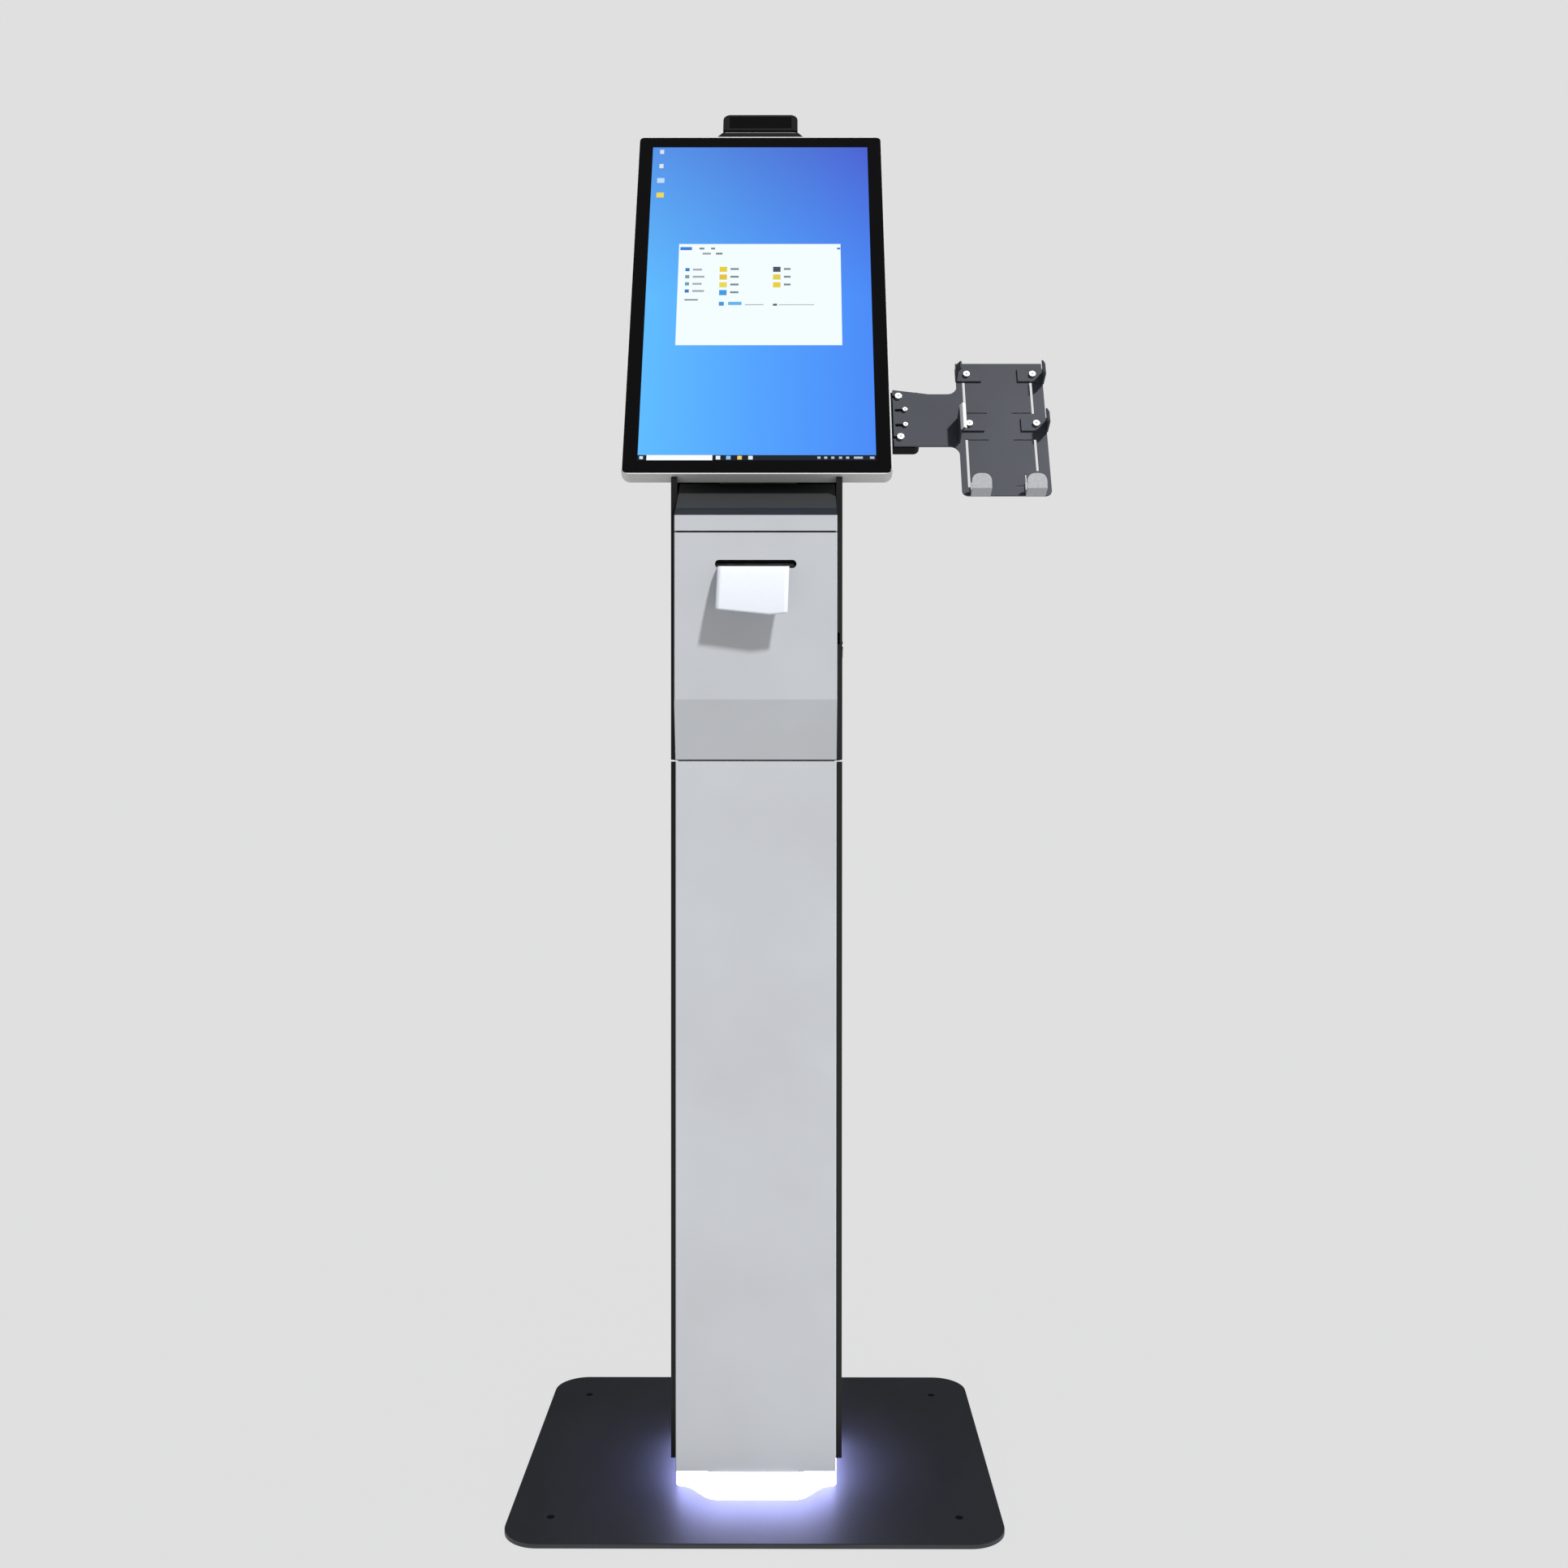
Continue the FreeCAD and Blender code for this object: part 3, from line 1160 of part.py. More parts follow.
def jaw_screw(name, sign, height):
    """The clamp screw of a jaw with its nut behind the plate."""
    front = JAW_FRONT
    place = (jaw_screw_x(sign), height)
    shank = rod((place[0], front + " - 1", place[1]), "screw_radius",
                "jaw_thick + arm_thick + slide_gap * 2 + 3", "y")
    head = rod((place[0], front + " - 2.7", place[1]), "3.8", "2.6", "y")
    nut = rod((place[0], ARM_BACK + " + slide_gap", place[1]), "3.6", "2.2", "y")
    socket = rod((place[0], front + " - 3.5", place[1]), "1.1", "2.2", "y")
    return node("jaw_screw_" + name, lean(cut(join(shank, head, nut), socket)))


def jaw_pad():
    """A white rubber trim pushed over the flare of the middle left jaw."""
    sign, height, below, above = JAWS["middle_left"]
    low = "(%s) - (%s) + 1" % (height, below)
    high = "(%s) + (%s) + 1" % (height, above)
    gap = "running_gap"
    corner = flare_corner(sign)
    outer = flare_block(sign, corner, ("-trim_thick - " + gap, "jaw_thick + trim_thick + " + gap),
                        ("2", "flare_reach + trim_thick + " + gap), low, high)
    room = flare_block(sign, corner, ("-" + gap, "jaw_thick + " + gap), ("-2", "flare_reach + " + gap),
                       low + " - 1", high + " - 1 + " + gap)
    return node("jaw_pad", lean(cut(outer, room)))


HOOKS = {"left": "249.2", "right": "310.3"}


def hook(name, across):
    """A lower hook bent from strap: a leg on the plate, a foot and an upturned tab with a round top."""
    body = new_body("hook_" + name)
    leg = "arm_front - 0.1"
    low = "(cradle_low - 1)"
    points = [(leg, "cradle_low + 16"), (leg, low), ("arm_front - hook_out - 2.2", low),
              ("arm_front - hook_out - 6", low + " + hook_high"),
              ("arm_front - hook_out - 4", low + " + hook_high"),
              ("arm_front - hook_out", low + " + 2"), (leg + " - 2", low + " + 2"),
              (leg + " - 2", "cradle_low + 16")]
    pad(body, "YZ_Plane", points, "hook_wide", across + " - hook_wide / 2")
    top = size("cradle_low") - 1 + size("hook_high")
    soften(body, "9", lambda edge: near(edge.BoundBox.ZMin, top) and near(edge.BoundBox.ZMax, top)
           and edge.BoundBox.YLength > 1.5 and edge.BoundBox.XLength < 0.1)
    hole = rod((across, "-5", "cradle_low + 9"), "screw_radius + slide_gap", "20", "y")
    return cut(body, hole)


def cradle_hooks():
    return node("cradle_hooks", lean(join(*[hook(name, across) for name, across in HOOKS.items()])))


def hook_rivets():
    rivets = []
    for across in HOOKS.values():
        shank = rod((across, "arm_front - 3", "cradle_low + 9"), "screw_radius", "arm_thick + 4", "y")
        ends = [rod((across, place, "cradle_low + 9"), "3.4", "1.2", "y")
                for place in ("arm_front - 3.4", ARM_BACK + " + 0.1")]
        rivets.append(join(shank, *ends))
    return node("hook_rivets", lean(join(*rivets)))


# ---------------------------------------------------------------- power

def power_supply():
    back = SPINE_FRONT + " - 0.2"
    case = box(("-supply_wide / 2", back + " - supply_deep", "supply_low"),
               ("supply_wide", "supply_deep", "supply_high - supply_low"))
    terminals = box(("-supply_wide / 2 + 6", back + " - supply_deep + 4", "supply_low - 8"),
                    ("supply_wide - 12", "14", "9"))
    return node("power_supply", join(case, terminals))


def power_inlet():
    """The mains socket in the rear skin, with the opening for its rocker switch."""
    flange = box(("inlet_side - 15.5", "shell_back + 0.05", "inlet_low"), ("31", "2", "inlet_high"))
    case = box(("inlet_side - 13.6", "shell_back - 24", "inlet_low + 3.4"),
               ("27.2", "25", "inlet_high - 6.8"))
    socket = box(("inlet_side - 11", "shell_back - 15", "inlet_low + 6"), ("22", "30", "16"))
    blades = [box(("inlet_side - 1 %s" % place, "shell_back - 16", up), ("2", "12", "4"))
              for place, up in (("- 7", "inlet_low + 10"), ("+ 7", "inlet_low + 10"),
                                ("+ 0", "inlet_low + 15"))]
    rocker_room = box(("inlet_side - 10.2", "shell_back - 12", "rocker_height - 12"), ("20.4", "30", "24"))
    return node("power_inlet", join(cut(join(flange, case), socket, rocker_room), *blades))


def rocker_switch():
    body = new_body("rocker")
    pivot = ("(shell_back - 3)", "rocker_height")
    points = [("-3.5", "-8.5"), ("1.5", "-9.5"), ("4", "0"), ("7", "9.5"), ("-3.5", "8.5")]
    placed = [("%s + (%s)" % (pivot[0], across), "%s + (%s)" % (pivot[1], up)) for across, up in points]
    pad(body, "YZ_Plane", placed, "19.6", "inlet_side - 9.8")
    axle = rod(("inlet_side - 10.15",) + pivot, "1.5", "20.3", "x")
    return node("rocker_switch", join(body, axle))


def build():
    for make in (base_plate, led_diffuser, led_strips, lower_front_cover, lower_rear_shell,
                 upper_rear_shell,
                 spine, spine_bolts, shell_ribs, neck_cover, neck_panel, printer_door, hinge_fixed_leaf,
                 hinge_moving_leaf, hinge_pin, lock_body, lock_cam, slot_mouth, printer_chassis, print_head,
                 cutter_blade, platen_roller, feed_motor, motor_pinion, printer_lid, roll_tray,
                 roll_spindle, paper_roll, ticket, screen_shell, touch_glass, lcd_panel, screen_frame,
                 main_board, fan_frame, fan_rotor, mount_plate, mount_screws, camera_saddle, camera_foot,
                 camera_housing, camera_window, camera_lens, cradle_plate, arm_block, arm_screws, jaw_pad,
                 cradle_hooks, hook_rivets, power_supply, power_inlet, rocker_switch):
        make()
    for name, (sign, height, below, above) in JAWS.items():
        jaw(name, sign, height, below, above)
        jaw_screw(name, sign, height)


def check():
    doc.recompute()
    for item in doc.Objects:
        if "Invalid" in item.State or "Error" in item.State:
            raise ValueError("%s (%s) failed: %s" % (item.Name, item.Label, item.State))
    for item in NODES:
        if item.Shape.isNull() or not item.Shape.isValid() or not item.Shape.Solids:
            raise ValueError("%s has no sound shape" % item.Label)


build()
check()
os.makedirs("parts", exist_ok=True)
for piece in NODES:
    piece.Shape.exportStep("parts/%s.step" % piece.Label)
print("%d nodes written" % len(NODES))
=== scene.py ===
# %% [markdown]
# # A self-service ticket kiosk
# The kiosk is bent steel: a floor plate, a slim column with pale covers over a black skin, a printer behind
# a small door, and a touch screen that leans back. The shapes come from the CAD model, which is loaded
# first and stays where it is. Each later cell dresses it: paints, plastics and glass, eased edges, and a
# paper slip.

# %% Load the kiosk
import bmesh
import bpy
import json
from math import cos, radians, sin
from mathutils import Matrix, Vector


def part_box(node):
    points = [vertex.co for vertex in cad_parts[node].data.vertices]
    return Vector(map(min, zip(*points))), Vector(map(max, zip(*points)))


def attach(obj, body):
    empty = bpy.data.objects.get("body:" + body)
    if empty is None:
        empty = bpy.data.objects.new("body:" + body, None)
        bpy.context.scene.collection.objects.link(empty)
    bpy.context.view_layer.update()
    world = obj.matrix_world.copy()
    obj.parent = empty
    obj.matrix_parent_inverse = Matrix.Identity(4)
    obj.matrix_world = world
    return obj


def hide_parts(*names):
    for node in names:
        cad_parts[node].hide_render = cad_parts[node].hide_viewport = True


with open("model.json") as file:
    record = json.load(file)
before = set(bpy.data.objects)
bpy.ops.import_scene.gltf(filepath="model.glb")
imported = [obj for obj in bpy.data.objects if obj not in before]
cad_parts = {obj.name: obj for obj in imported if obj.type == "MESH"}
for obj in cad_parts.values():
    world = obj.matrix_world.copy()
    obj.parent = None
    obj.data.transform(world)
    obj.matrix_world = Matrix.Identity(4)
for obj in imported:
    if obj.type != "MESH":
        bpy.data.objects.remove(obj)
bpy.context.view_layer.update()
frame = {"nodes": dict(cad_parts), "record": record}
MM = 0.001

# %% [markdown]
# ## Tools for making finishes
# A shader works in linear light, but people pick colours as sRGB hex codes, so one function turns one into
# the other. A second one adds any node with its settings and links, which keeps each finish short enough to
# read. Every finish starts from the same three nodes: the object's own coordinates, the shader and the
# output.

# %% Colour, node and material helpers
def linear(code):
    """An sRGB hex colour as the linear numbers that a shader works in."""
    parts = [int(code[n:n + 2], 16) / 255 for n in (1, 3, 5)]
    return tuple(c / 12.92 if c <= 0.04045 else ((c + 0.055) / 1.055) ** 2.4 for c in parts) + (1.0,)


def add(material, kind, settings=None, links=None):
    """Adds one node. A setting is an input's name or number, or a property of the node."""
    made = material.node_tree.nodes.new("ShaderNode" + kind)
    for key, value in (settings or {}).items():
        if isinstance(key, int) or key in made.inputs:
            made.inputs[key].default_value = value
        else:
            setattr(made, key, value)
    for key, socket in (links or {}).items():
        material.node_tree.links.new(socket, made.inputs[key])
    return made


def start_finish(name, colour, roughness, metallic=0.0, **more):
    """A new material with its shader set. Returns it with the shader and the object's coordinates."""
    material = bpy.data.materials.new(name)
    material.use_nodes = True
    material.node_tree.nodes.clear()
    settings = {"Base Color": linear(colour), "Roughness": roughness, "Metallic": metallic}
    settings.update({key.replace("_", " "): value for key, value in more.items()})
    shader = add(material, "BsdfPrincipled", settings)
    add(material, "OutputMaterial", links={"Surface": shader.outputs["BSDF"]})
    place = add(material, "TexCoord").outputs["Object"]
    return material, shader, place


def join_up(material, socket, shader, key):
    material.node_tree.links.new(socket, shader.inputs[key])


def speckle(material, place, size_mm, detail=2.0, stretch=(1, 1, 1)):
    """Noise whose patches are about size_mm across."""
    scale = tuple(part / (size_mm * MM) for part in stretch)
    spread = add(material, "Mapping", {"Scale": scale}, {"Vector": place})
    noise = add(material, "TexNoise", {"Scale": 1.0, "Detail": detail}, {"Vector": spread.outputs[0]})
    return noise.outputs["Fac"]


def blend_colours(material, amount, codes):
    """A colour ramp between hex colours, driven by a pattern."""
    ramp = add(material, "ValToRGB", links={"Fac": amount})
    stops = ramp.color_ramp.elements
    for n, (where, code) in enumerate(codes):
        stop = stops[n] if n < 2 else stops.new(where)
        stop.position, stop.color = where, linear(code)
    return ramp.outputs["Color"]


def roughen(material, shader, pattern, low, high):
    """Roughness that wanders between two values with a pattern."""
    spread = add(material, "MapRange", {"To Min": low, "To Max": high}, {"Value": pattern})
    join_up(material, spread.outputs["Result"], shader, "Roughness")


def dent(material, shader, pattern, depth_mm, strength=1.0):
    """Bump from a pattern, with its real depth."""
    bump = add(material, "Bump", {"Strength": strength, "Distance": depth_mm * MM}, {"Height": pattern})
    join_up(material, bump.outputs["Normal"], shader, "Normal")


FINISHES = {}

# %% [markdown]
# ## Paints
# Sheet steel kiosks are powder coated. The powder melts to a film with a faint orange peel, bumps one to
# two millimetres apart. The three paints are made alike, and a small table holds what tells them apart.
# Its last column, shine, is how much the film mirrors when looked at squarely: a dark paint with a low
# value stays dark under a bright surround.

# %% Powder coats and enamels
PAINTS = {
    # slot: (colours from dark to light, low and high roughness, peel size mm, peel depth mm, coat, shine)
    "white_enamel": ("#bdbfc3", "#c6c9cd", 0.34, 0.42, 2.4, 0.03, 0.15, 0.5),
    "black_enamel": ("#0a0a0b", "#0e0e0f", 0.36, 0.46, 2.0, 0.03, 0.0, 0.5),
    "slate_enamel": ("#393c43", "#41444c", 0.46, 0.56, 1.2, 0.03, 0.0, 0.2),
}
for slot, (dark, light, low, high, peel, depth, coat, shine) in PAINTS.items():
    paint, shader, place = start_finish("powder_coat_" + slot, light, low, Coat_Weight=coat,
                                        Coat_Roughness=0.25, Specular_IOR_Level=shine)
    drift = speckle(paint, place, 180, 3.0)
    join_up(paint, blend_colours(paint, drift, ((0.3, dark), (0.7, light))), shader, "Base Color")
    roughen(paint, shader, speckle(paint, place, 40), low, high)
    dent(paint, shader, speckle(paint, place, peel, 1.0), depth, 0.35)
    FINISHES[slot] = paint
print("paints:", ", ".join(PAINTS))

# %% [markdown]
# ## The textured floor plate and the sloping neck panel
# The floor plate's powder is a fine grit of about 0.8 mm; it is drawn at 1.6 mm here because smaller grains
# would melt into one grey. Feet rub it, so soft patches of it are a little lighter. The neck panel is a
# smooth dark grey whose lowest strip is a return fold that faces the floor. That strip is painted with shade:
# it is coloured darker below a set height.

# %% Textured plate and neck panel
plate_paint, shader, place = start_finish("textured_powder_coat", "#46484c", 0.5)
grit = speckle(plate_paint, place, 1.6, 3.0)
scuffs = speckle(plate_paint, place, 90, 4.0, (1, 0.4, 1))
join_up(plate_paint, blend_colours(plate_paint, scuffs, ((0.3, "#424448"), (0.75, "#4d4f54"))),
        shader, "Base Color")
roughen(plate_paint, shader, grit, 0.42, 0.6)
dent(plate_paint, shader, grit, 0.2, 0.5)
FINISHES["charcoal_powder"] = plate_paint

neck_paint, shader, place = start_finish("dark_satin_enamel", "#4a4c50", 0.42, Specular_IOR_Level=0.3)
# Painted shade: below this height the neck panel is coloured darker, for the strip that faces the floor.
SHADED_BAND_HIGH, SHADED_BAND_BLUR = 11 * MM, 0.4 * MM
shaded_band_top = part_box("neck_panel")[0].z + SHADED_BAND_HIGH
height = add(neck_paint, "SeparateXYZ", links={"Vector": place}).outputs["Z"]
above_shaded_band = add(neck_paint, "MapRange", {"From Min": shaded_band_top - SHADED_BAND_BLUR, "From Max": shaded_band_top + SHADED_BAND_BLUR},
           {"Value": height})
join_up(neck_paint, blend_colours(neck_paint, above_shaded_band.outputs["Result"], ((0.0, "#1f2022"), (1.0, "#323436"))),
        shader, "Base Color")
roughen(neck_paint, shader, speckle(neck_paint, place, 30), 0.36, 0.48)
dent(neck_paint, shader, speckle(neck_paint, place, 2.0, 1.0), 0.03, 0.3)
FINISHES["dark_enamel"] = neck_paint
print("fold line of the neck panel: %.4f m" % shaded_band_top)

# %% [markdown]
# ## Bare and plated metals
# Zinc plate is milky, with a grain from rolling; nickel is brighter and warmer; black oxide is dark and
# oily; chrome is nearly a mirror. A metal keeps the default IOR: its colour alone says how it reflects.
# Rolled sheet shows its grain in one direction, so the noise is stretched along the height of the kiosk.

# %% Metals
METALS = {
    # slot: (name, colours, low and high roughness, grain mm, stretch)
    "zinc_steel": ("zinc_plated_steel", "#a3a6ab", "#bfc1c4", 0.28, 0.45, 3.0, (1, 1, 0.15)),
    "black_steel": ("black_oxide_steel", "#17171a", "#232326", 0.4, 0.55, 2.0, (1, 1, 0.3)),
    "chrome_lock": ("polished_chrome", "#c9cacc", "#dadbdc", 0.08, 0.16, 4.0, (1, 1, 1)),
    "aluminium": ("extruded_aluminium", "#b9bbbe", "#cfd0d2", 0.25, 0.38, 2.0, (0.1, 1, 1)),
    "bright_screw": ("bright_nickel_plate", "#e4e4e3", "#f4f4f3", 0.36, 0.48, 1.5, (1, 1, 1)),
}
for slot, (name, dark, light, low, high, grain, stretch) in METALS.items():
    metal, shader, place = start_finish(name, light, low, metallic=1.0)
    pattern = speckle(metal, place, grain, 3.0, stretch)
    join_up(metal, blend_colours(metal, pattern, ((0.3, dark), (0.7, light))), shader, "Base Color")
    roughen(metal, shader, pattern, low, high)
    dent(metal, shader, pattern, 0.02, 0.3)
    FINISHES[slot] = metal
print("metals:", ", ".join(METALS))

# %% [markdown]
# ## Plastics, rubber and paper
# Moulded plastic takes a fine spark-eroded grain from its mould, drawn here at about a millimetre. Rubber
# is duller. A deep grain scatters what a smooth black surface would mirror, so the black plastic and the
# rubber have a lower specular level than the rest. Thermal paper is a coated sheet: very white and
# slightly smooth, with fibre clouds a few millimetres across that the eye reads as paper.

# %% Plastics, rubbers and paper
MOULDED = {
    # slot: (name, colours, low and high roughness, grain mm, depth mm)
    "black_plastic": ("moulded_black_abs", "#060607", "#0a0a0b", 0.55, 0.68, 1.0, 0.04),
    "white_nylon": ("moulded_white_nylon", "#dcdbd6", "#e8e7e2", 0.45, 0.55, 1.5, 0.03),
    "silver_plastic": ("silver_painted_abs", "#c4c4c2", "#cfcfcd", 0.32, 0.42, 1.0, 0.02),
    "black_rubber": ("ground_rubber", "#151515", "#202020", 0.75, 0.9, 0.8, 0.06),
    "white_rubber": ("white_silicone_rubber", "#d9d9d7", "#e6e6e4", 0.6, 0.7, 1.2, 0.04),
    "bright_hook": ("dipped_grey_vinyl", "#a3a5a8", "#b4b6b9", 0.24, 0.34, 3.0, 0.03),
    "thermal_paper": ("thermal_paper", "#d9dde4", "#dde1e8", 0.55, 0.7, 3.0, 0.02),
}
MATT, PLAIN_SPECULAR = {"black_plastic": 0.15, "black_rubber": 0.3}, 0.5
for slot, (name, dark, light, low, high, grain, depth) in MOULDED.items():
    plastic, shader, place = start_finish(name, light, low, Specular_IOR_Level=MATT.get(slot, PLAIN_SPECULAR))
    pattern = speckle(plastic, place, grain, 3.0)
    join_up(plastic, blend_colours(plastic, pattern, ((0.25, dark), (0.75, light))), shader, "Base Color")
    roughen(plastic, shader, speckle(plastic, place, grain * 8), low, high)
    dent(plastic, shader, pattern, depth, 0.5)
    FINISHES[slot] = plastic
print("moulded finishes:", ", ".join(MOULDED))

# %% [markdown]
# ## Circuit board
# Green solder mask lies over copper traces, which show as paler lines on a grid of 2.54 mm. A brick pattern
# with thin joints gives lines that break and step like routed traces.

# %% Circuit board
board, shader, place = start_finish("green_solder_mask", "#0f5a35", 0.35)
PIN_STEP = 2.54 * MM
grid = add(board, "Mapping", {"Scale": (1 / PIN_STEP,) * 3, "Rotation": (radians(90), 0, 0)},
           {"Vector": place})
traces = add(board, "TexBrick", {"Color1": linear("#0e5230"), "Color2": linear("#125c38"),
                                 "Mortar": linear("#3c8a5c"), "Scale": 1.0, "Mortar Size": 0.06,
                                 "Brick Width": 3.0, "Row Height": 1.0}, {"Vector": grid.outputs[0]})
join_up(board, traces.outputs["Color"], shader, "Base Color")
dent(board, shader, traces.outputs["Fac"], 0.05, 0.5)
FINISHES["circuit_board"] = board

# %% [markdown]
# ## The lit foot
# The foot is opal acrylic: milky sheet that spreads the light of LED strips behind it. Their cold white
# light leaves a violet-blue glow on the dark plate. The shader glows by itself, apart from the top edge,
# which the column covers.

# %% Opal acrylic
opal, shader, place = start_finish("opal_acrylic", "#eceef6", 0.35, Emission_Strength=13.0)
foot_low, foot_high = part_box("led_diffuser")
height = add(opal, "SeparateXYZ", links={"Vector": place}).outputs["Z"]
climb = add(opal, "MapRange", {"From Min": foot_low.z, "From Max": foot_high.z}, {"Value": height})
glow_stops = ((0.0, "#b2b5ff"), (0.975, "#babdff"), (0.985, "#17171c"))
join_up(opal, blend_colours(opal, climb.outputs["Result"], glow_stops), shader, "Emission Color")
roughen(opal, shader, speckle(opal, place, 6), 0.3, 0.4)
FINISHES["opal_acrylic"] = opal

# %% [markdown]
# ## The picture on the screen
# The glass is printed black on its back except for a window, and the picture shows through there. It could
# be a separate lit sheet, but then the glass would need to be clear and every view would have to trace
# through it. So the glass glows where the picture is, and keeps one unbroken gloss. A Mapping node turns
# the coordinates into the plane of the glass, where X runs along it and Z climbs it. The desktop is a plain
# one: a blue gradient, a blank window with small coloured blocks, four small blocks at the left and a dark
# bar below.

# %% Plane of the glass
CAD_TILT = radians(24.9)
glass_low, glass_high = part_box("touch_glass")
GLASS_WIDE = glass_high.x - glass_low.x
GLASS_THICK = 3 * MM
GLASS_TALL = (glass_high.z - glass_low.z - GLASS_THICK * sin(CAD_TILT)) / cos(CAD_TILT)
GLASS_FOOT = Vector((0, glass_low.y, glass_low.z + GLASS_THICK * sin(CAD_TILT)))
BEZEL = 16.65 * MM
print("glass %.1f x %.1f mm, foot at" % (GLASS_WIDE / MM, GLASS_TALL / MM), GLASS_FOOT)

# %% Screen glass with its picture
screen, shader, place = start_finish("printed_touch_glass", "#050506", 0.06, Emission_Strength=1.0)
shader.inputs["IOR"].default_value = 1.5
flat = add(screen, "Mapping", {"vector_type": "TEXTURE", "Location": GLASS_FOOT,
                               "Rotation": (-CAD_TILT, 0, 0), "Scale": (MM, MM, MM)},
           {"Vector": place}).outputs[0]
across = add(screen, "SeparateXYZ", links={"Vector": flat})
half_wide, top = (GLASS_WIDE / 2 - BEZEL) / MM, (GLASS_TALL - BEZEL) / MM
bottom = BEZEL / MM
FAR = 9e9


def inside(low_x, low_z, high_x, high_z):
    """1 inside a rectangle on the glass, in millimetres, and 0 outside."""
    middle = ((low_x + high_x) / 2, 0, (low_z + high_z) / 2)
    half = ((high_x - low_x) / 2, FAR, (high_z - low_z) / 2)
    off = add(screen, "VectorMath", {"operation": "SUBTRACT", 1: middle}, {0: flat})
    side = add(screen, "VectorMath", {"operation": "ABSOLUTE"}, {0: off.outputs[0]})
    past = add(screen, "VectorMath", {"operation": "SUBTRACT", 1: half}, {0: side.outputs[0]})
    parts = add(screen, "SeparateXYZ", links={"Vector": past.outputs[0]})
    most = add(screen, "Math", {"operation": "MAXIMUM"}, {0: parts.outputs["X"], 1: parts.outputs["Z"]})
    return add(screen, "Math", {"operation": "LESS_THAN", 1: 0.0}, {0: most.outputs[0]}).outputs[0]


def patch(under, rectangle, code):
    """Lays a coloured rectangle over a picture."""
    mixed = add(screen, "Mix", {"data_type": "RGBA"})
    links = screen.node_tree.links
    links.new(inside(*rectangle), mixed.inputs[0])
    links.new(under, mixed.inputs[6])
    mixed.inputs[7].default_value = linear(code)
    return mixed.outputs[2]


slide = add(screen, "MapRange", {"From Min": -half_wide, "From Max": half_wide},
            {"Value": across.outputs["X"]})
climb = add(screen, "MapRange", {"From Min": 250, "From Max": top}, {"Value": across.outputs["Z"]})
LOW_SKY = ((0.0, "#5fbcff"), (0.5, "#52a2fe"), (1.0, "#4a8bf9"))
HIGH_SKY = ((0.0, "#5593e9"), (0.5, "#4f7ddb"), (1.0, "#4a62d2"))
low_sky = blend_colours(screen, slide.outputs["Result"], LOW_SKY)
high_sky = blend_colours(screen, slide.outputs["Result"], HIGH_SKY)
sky = add(screen, "Mix", {"data_type": "RGBA"})
screen.node_tree.links.new(climb.outputs["Result"], sky.inputs[0])
screen.node_tree.links.new(low_sky, sky.inputs[6])
screen.node_tree.links.new(high_sky, sky.inputs[7])
picture = sky.outputs[2]

WINDOW = (-96.6, 180, 98.3, 334.7)
BLOCKS = [
    (WINDOW, "#f3fdff"),
    ((-95, 325, -81, 330), "#3f7fd6"), ((-72, 326, -66, 329), "#7d8790"), ((-58, 326, -53, 329), "#7d8790"),
    ((-68, 318, -58, 321), "#9aa3ab"), ((-52, 318, -44, 321), "#7d8790"), ((94, 326, 98, 329), "#3f7fd6"),
    ((-half_wide, bottom, half_wide, bottom + 7), "#1d222b"), ((-124, bottom, -50, bottom + 7), "#fbfcfd"),
    ((-132, bottom + 1.5, -128, bottom + 5.5), "#dfe8f2"),
]
for row in range(4):
    shade = ("#3f78c8", "#86929e", "#5aa0c8", "#3f78c8")[row]
    BLOCKS.append(((-88, 292 - 11 * row, -83, 297 - 11 * row), shade))
    BLOCKS.append(((-79, 293 - 11 * row, -68 + 3 * (row % 2), 296 - 11 * row), "#a4adb5"))
    folder = ("#e9cf3a", "#e3c43c", "#e9d85a", "#3f9ae0")[row]
    BLOCKS.append(((-47, 291 - 12 * row, -38, 299 - 12 * row), folder))
    BLOCKS.append(((-34, 294 - 12 * row, -24, 297 - 12 * row), "#7f8992"))
for row in range(3):
    BLOCKS.append(((17, 291 - 12 * row, 26, 299 - 12 * row), ("#4c5560", "#e3d04a", "#e9cf3a")[row]))
    BLOCKS.append(((30, 294 - 12 * row, 38, 297 - 12 * row), "#7f8992"))
BLOCKS += [
    ((-47, 239, -41, 245), "#3f9ae0"), ((-36, 240, -20, 245), "#67b3ea"), ((-16, 240, 6, 241.2), "#9aa3ab"),
    ((17, 239, 22, 242), "#4c5560"), ((24, 240, 66, 241), "#9aa3ab"), ((-88, 247, -72, 249), "#6d7680"),
]
SHORTCUTS = ((5, 7, "#d9e2ee"), (5, 7, "#dfe6ee"), (9, 8, "#bfdcf8"), (9, 8, "#f0d84a"))
for n, (wide, high, code) in enumerate(SHORTCUTS):
    middle_x, middle_z = -half_wide + 11.5, top - 7.5 - 24 * n
    block = (middle_x - wide / 2, middle_z - high / 2, middle_x + wide / 2, middle_z + high / 2)
    BLOCKS.append((block, code))
for middle_x, code in ((-43.6, "#f2f6fa"), (-32, "#8fc3f2"), (-19.4, "#f0d070"), (-7.1, "#e8eef4")):
    BLOCKS.append(((middle_x - 2.5, bottom + 1, middle_x + 2.5, bottom + 6), code))
for left, wide in ((68, 3.5), (75.6, 3.5), (83.6, 3.5), (92.3, 3.5), (100.2, 3.5), (109, 10), (127, 5)):
    BLOCKS.append(((left, bottom + 2, left + wide, bottom + 5), "#b9c4d0"))
for rectangle, code in BLOCKS:
    picture = patch(picture, rectangle, code)
black = add(screen, "Mix", {"data_type": "RGBA"})
lit = inside(-half_wide, bottom, half_wide, top)
front = add(screen, "Math", {"operation": "LESS_THAN", 1: 1.0}, {0: across.outputs["Y"]})
shown = add(screen, "Math", {"operation": "MULTIPLY"}, {0: lit, 1: front.outputs[0]})
screen.node_tree.links.new(shown.outputs[0], black.inputs[0])
